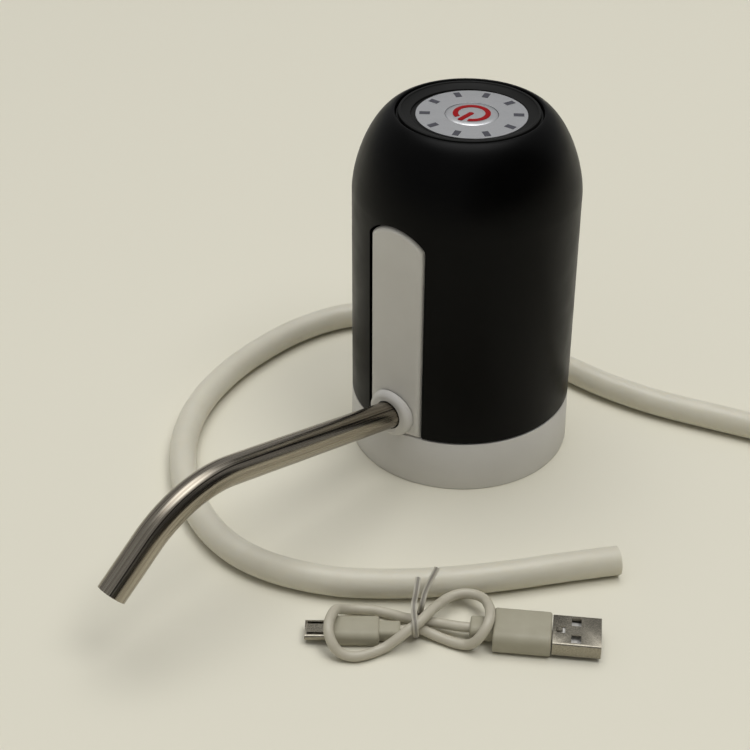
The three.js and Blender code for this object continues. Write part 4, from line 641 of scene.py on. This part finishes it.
def button():
    """A clear cap over foil: nearly flat on top, with a sloping edge that catches the light in front."""
    bm = turned([(0, 111.7), (BUTTON_R, 111.7), (BUTTON_R, 112.08), (7.78, 112.17), (7.55, 112.27), (7.1, 112.38),
                 (6.5, 112.47), (6, BUTTON_TOP), (4, 112.54), (2, 112.56), (0, 112.57)], SMALL + 32)
    bmesh.ops.translate(bm, verts=bm.verts, vec=DIAL_SLIP)
    finished("button_cover", bm, dial_foil, "button", ["button_lens"])
    stroke, radius, gap, low, high = 1.6, 5.6, math.radians(23), BUTTON_TOP - 0.05, BUTTON_TOP + 0.1
    bm = bmesh.new()
    corners = [(radius - stroke, low), (radius, low), (radius, high), (radius - stroke, high)]
    verts = [bm.verts.new((0, -r, z)) for r, z in corners]
    face = bm.faces.new(verts)
    bmesh.ops.rotate(bm, cent=(0, 0, 0), matrix=Matrix.Rotation(gap, 3, "Z"), verts=verts)
    bmesh.ops.spin(bm, geom=[face], cent=(0, 0, 0), axis=(0, 0, 1), angle=TURN - 2 * gap, steps=60)
    block(bm, (-stroke / 2, -6.1, low), (stroke / 2, 0.4, high + 0.03), corner=0.6, axis=2, steps=4)
    bmesh.ops.translate(bm, verts=bm.verts, vec=DIAL_SLIP)
    finished("power_symbol", bm, red_ink, "button")


def placed(bm, x, y, z, turn):
    """Moves a shape that was made along X to its place on the floor, turned by an angle in degrees."""
    bm.transform(Matrix.Translation((x, y, z)) @ Matrix.Rotation(math.radians(turn), 4, "Z"))
    return bm


# Where the two plugs lie, as x, y, z and angle
PLUG_A, MICRO = (83.39, -66.02, 3.5, 32.75), (34.1, -103.7, 2.5, 39.2)


def straight_attribute(bm):
    """Keeps where each vertex is before the piece is turned, so that a finish can run along it."""
    layer = bm.verts.layers.float_vector.new("unrolled")
    for vert in bm.verts:
        vert[layer] = Vector((vert.co.y, vert.co.z, vert.co.x)) * MM
    return bm


def plugs():
    """The charging lead's two plugs: sheet shells in soft overmoulded grips."""
    bm = bmesh.new()
    block(bm, (-22.9, -3.4, -2.4), (-8, 3.4, 2.4), 1.7, edge=GRIP_EDGE)
    step = bmesh.new()
    block(step, (-16.4, -6.7, -3.5), (-0.3, 6.7, 3.5), 2.4, edge=GRIP_EDGE)
    bm = carved(step, bm, "UNION")
    grip_a = finished("usb_a_grip_soft", placed(bm, *PLUG_A), grip_tpe, stands_for=["usb_a_grip"])

    bm = bmesh.new()
    block(bm, (0, -6, -2.25), (13.4, 6, 2.25), 0.5, 0, steps=3)
    hollow = bmesh.new()
    block(hollow, (-1, -5.65, -1.9), (14.4, 5.65, 1.9), 0.2, 0, steps=2)
    bm = carved(bm, hollow)
    for side in (-1, 1):
        hole = bmesh.new()
        block(hole, (5.1, side * 3.4 - 1.6, -4), (7.8, side * 3.4 + 1.6, 4), 0.15, 2, steps=2)
        bm = carved(bm, hole)
    slot = bmesh.new()
    block(slot, (1.2, -1.3, 1), (3.4, 1.3, 4), 0.15, 2, steps=2)
    bm = carved(bm, slot)
    spring = bmesh.new()
    block(spring, (0.9, -0.7, 2), (2.7, 0.7, 2.45), 0.2, 1, steps=3)
    bm = carved(bm, spring, "UNION")
    shell_a = finished("usb_a_shell_sheet", placed(straight_attribute(bm), *PLUG_A), shell_steel,
                       stands_for=["usb_a_shell"])

    bm = bmesh.new()
    block(bm, (7, -2.8, -1.9), (19.9, 2.8, 1.9), 1.2, edge=GRIP_EDGE)
    step = bmesh.new()
    block(step, (0.3, -4.5, -2.5), (14, 4.5, 2.5), 1.9, edge=GRIP_EDGE)
    bm = carved(step, bm, "UNION")
    grip_micro = finished("micro_grip_soft", placed(bm, *MICRO), grip_tpe, stands_for=["micro_grip"])

    bm = bmesh.new()
    block(bm, (-6.8, -3.43, -0.9), (0, 3.43, 0.9), 0.6, 0, steps=4)
    hollow = bmesh.new()
    block(hollow, (-7.8, -3.13, -0.6), (-2.3, 3.13, 0.6), 0.3, 0, steps=2)
    bm = carved(bm, hollow)
    for side in (-1, 1):
        slot = bmesh.new()
        block(slot, (-6.1, side * 2.1 - 0.4, 0), (-1.3, side * 2.1 + 0.4, 2), 0.15, 2, steps=2)
        bm = carved(bm, slot)
    shell_micro = finished("micro_shell_sheet", placed(straight_attribute(bm), *MICRO), shell_steel,
                           stands_for=["micro_shell"])
    return [grip_a, shell_a, grip_micro, shell_micro]


def tie():
    """A wire in flat plastic with thin wings, wound once round the strands, its ends standing up."""
    strands = [(-3.4, 6.4), (-1.0, 3.1), (2.4, 3.1)]        # where the lead passes, across and up
    reach, pitch, loop = LEAD_R + 0.6 + 0.3, 1.8, []
    for i, (y, z) in enumerate(strands):
        (from_y, from_z), (to_y, to_z) = strands[i - 1], strands[(i + 1) % 3]
        inward, outward = math.atan2(from_y - y, z - from_z), math.atan2(y - to_y, to_z - z)
        sweep = (outward - inward) % TURN
        loop += [(y + reach * math.cos(inward + sweep * k / 3), z + reach * math.sin(inward + sweep * k / 3))
                 for k in range(4)]
    route = [(0.4, 8.8, 13.2), (-0.3, 5.0, 10.9), (-0.9, 2.6, 8.9)]
    route += [(pitch * (i / (len(loop) - 1) - 0.5), y, z) for i, (y, z) in enumerate(loop)]
    route += [(1.3, 2.9, 8.0), (2.4, 6.0, 10.6), (5.7, 10.9, 15.0)]
    line, _ = smooth_line(route, 0.35)
    bm = bmesh.new()
    wing = [(0.82, 0.08), (0.76, 0.15), (0.44, 0.17), (0.32, 0.34), (0.12, 0.44)]
    half = wing + [(-y, x) for y, x in reversed(wing)]
    section = [(x, y) for y, x in half] + [(-x, y) for y, x in reversed(half)]
    for end in swept(bm, stations(line, Vector((1, 0, 0))), section):
        bmesh.ops.edgeloop_fill(bm, edges=end)
    return finished("wire_tie", placed(bm, 52.15, -87.02, 0, 39.95), tie_plastic, stands_for=["twist_tie"])


hose()
lead([*plugs(), tie(), "usb_a_insert"])
housing()
strip()
foot()
collar()
spout()
bezel()
dial()
button()

# Finishes of the CAD nodes that stay as they are
plain_steel = drawn_steel("zinc-plated steel, pressed", "#b0aea8", "#97948d", 0.32, lines=0.3, run=6)
NODE_FINISHES = {
    "plain_steel": plain_steel,
    "white_plastic": white_abs,
    "satin_black": bezel_abs,
    "lead_cover": grip_tpe,
    "grey_plastic": moulded_plastic("grey acetal, moulded", "#8b8d8e", "#808283", 0.5),
    "grey_rubber": moulded_plastic("grey EPDM rubber, moulded", "#6d6c69", "#5f5e5b", 0.8, cloud=5),
    "silicone_tube": moulded_plastic("milky silicone tube, extruded", "#dfe2e0", "#d2d6d3", 0.35, cloud=6,
                                     **{"Transmission Weight": 0.3}),
    "circuit_board": moulded_plastic("green solder mask on glass laminate", "#1f6b45", "#195c3a", 0.4, grain=0.8),
    "cell_wrap": moulded_plastic("blue PVC sleeve, shrunk", "#2f5f9a", "#28548a", 0.4, cloud=12),
    "copper_winding": drawn_steel("enamelled copper wire, wound", "#a8623a", "#8d4d2b", 0.4, lines=0.5, run=4),
    "ferrite": moulded_plastic("ferrite, sintered", "#3c3a38", "#33312f", 0.7, grain=0.2, relief=0.02),
    "red_lead": moulded_plastic("red PVC insulation, extruded", "#b3342c", "#a52c25", 0.45),
    "black_lead": moulded_plastic("black PVC insulation, extruded", "#2a2a2a", "#222222", 0.45),
}
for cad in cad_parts.values():
    if cad.hide_render:
        continue
    slot_name = cad.data.materials[0].name.split(".")[0]
    cad.data.materials[0] = NODE_FINISHES[slot_name]

# Floor: one plain pale sheet, 24 m across, so that its end stays out of sight
bm = bmesh.new()
bmesh.ops.create_grid(bm, x_segments=1, y_segments=1, size=12)
mesh = bpy.data.meshes.new("floor")
bm.to_mesh(mesh)
bm.free()
floor = bpy.data.objects.new("floor", mesh)
scene.collection.objects.link(floor)
# Uncoated paper scatters light evenly, so the floor is flat and warm.
mesh.materials.append(begin("pale matt paper", Roughness=0.9, **{"Base Color": linear("#dedac9")})[0])


def lamp(name, place, size, power):
    """A soft square lamp, turned towards the object. It lights the surfaces but isn't mirrored in them: what
    they mirror is the room."""
    data = bpy.data.lights.new(name, "AREA")
    data.shape, data.size, data.energy = "SQUARE", size, power
    made = bpy.data.objects.new(name, data)
    made.location = place
    made.rotation_euler = (-Vector(place)).to_track_quat("-Z", "Y").to_euler()
    made.visible_glossy = False
    scene.collection.objects.link(made)


# One window-like lamp from high on the right, which gives the soft shade to the left of spout and body
lamp("key", (1.12, 0.1, 2.24), size=1, power=17)

# The room: dim walls, dark on the right, under a ceiling that is brightest a little behind the object. A
# direction is told by its cosine to one axis, and a smooth step turns that into a strength.
CEILING, CEILING_GLOW, RIGHT, WALL_GLOW, DARK = (-0.11, 0.13, 0.985), 2.9, (1, 0, 0), 0.32, 0.02
world = bpy.data.worlds.new("room")
scene.world = world
world.use_nodes = True
room = world.node_tree
room.nodes.clear()
direction = node(room, "ShaderNodeTexCoord").outputs["Generated"]
up = node(room, "ShaderNodeVectorMath", {0: direction, 1: CEILING}, operation="DOT_PRODUCT")
aside = node(room, "ShaderNodeVectorMath", {0: direction, 1: RIGHT}, operation="DOT_PRODUCT")
dim = node(room, "ShaderNodeMapRange", {"Value": aside.outputs["Value"], "From Min": 0.5, "From Max": 0.75,
                                        "To Min": WALL_GLOW, "To Max": DARK}, interpolation_type="SMOOTHSTEP")
bright = node(room, "ShaderNodeMapRange", {"Value": up.outputs["Value"], "From Min": 0.84, "From Max": 1,
                                           "To Min": 0, "To Max": CEILING_GLOW}, interpolation_type="SMOOTHSTEP")
glow = node(room, "ShaderNodeMath", {0: dim.outputs[0], 1: bright.outputs[0]})
walls = node(room, "ShaderNodeBackground", {"Color": linear("#ffffff"), "Strength": glow.outputs[0]})
node(room, "ShaderNodeOutputWorld", {"Surface": walls.outputs[0]})
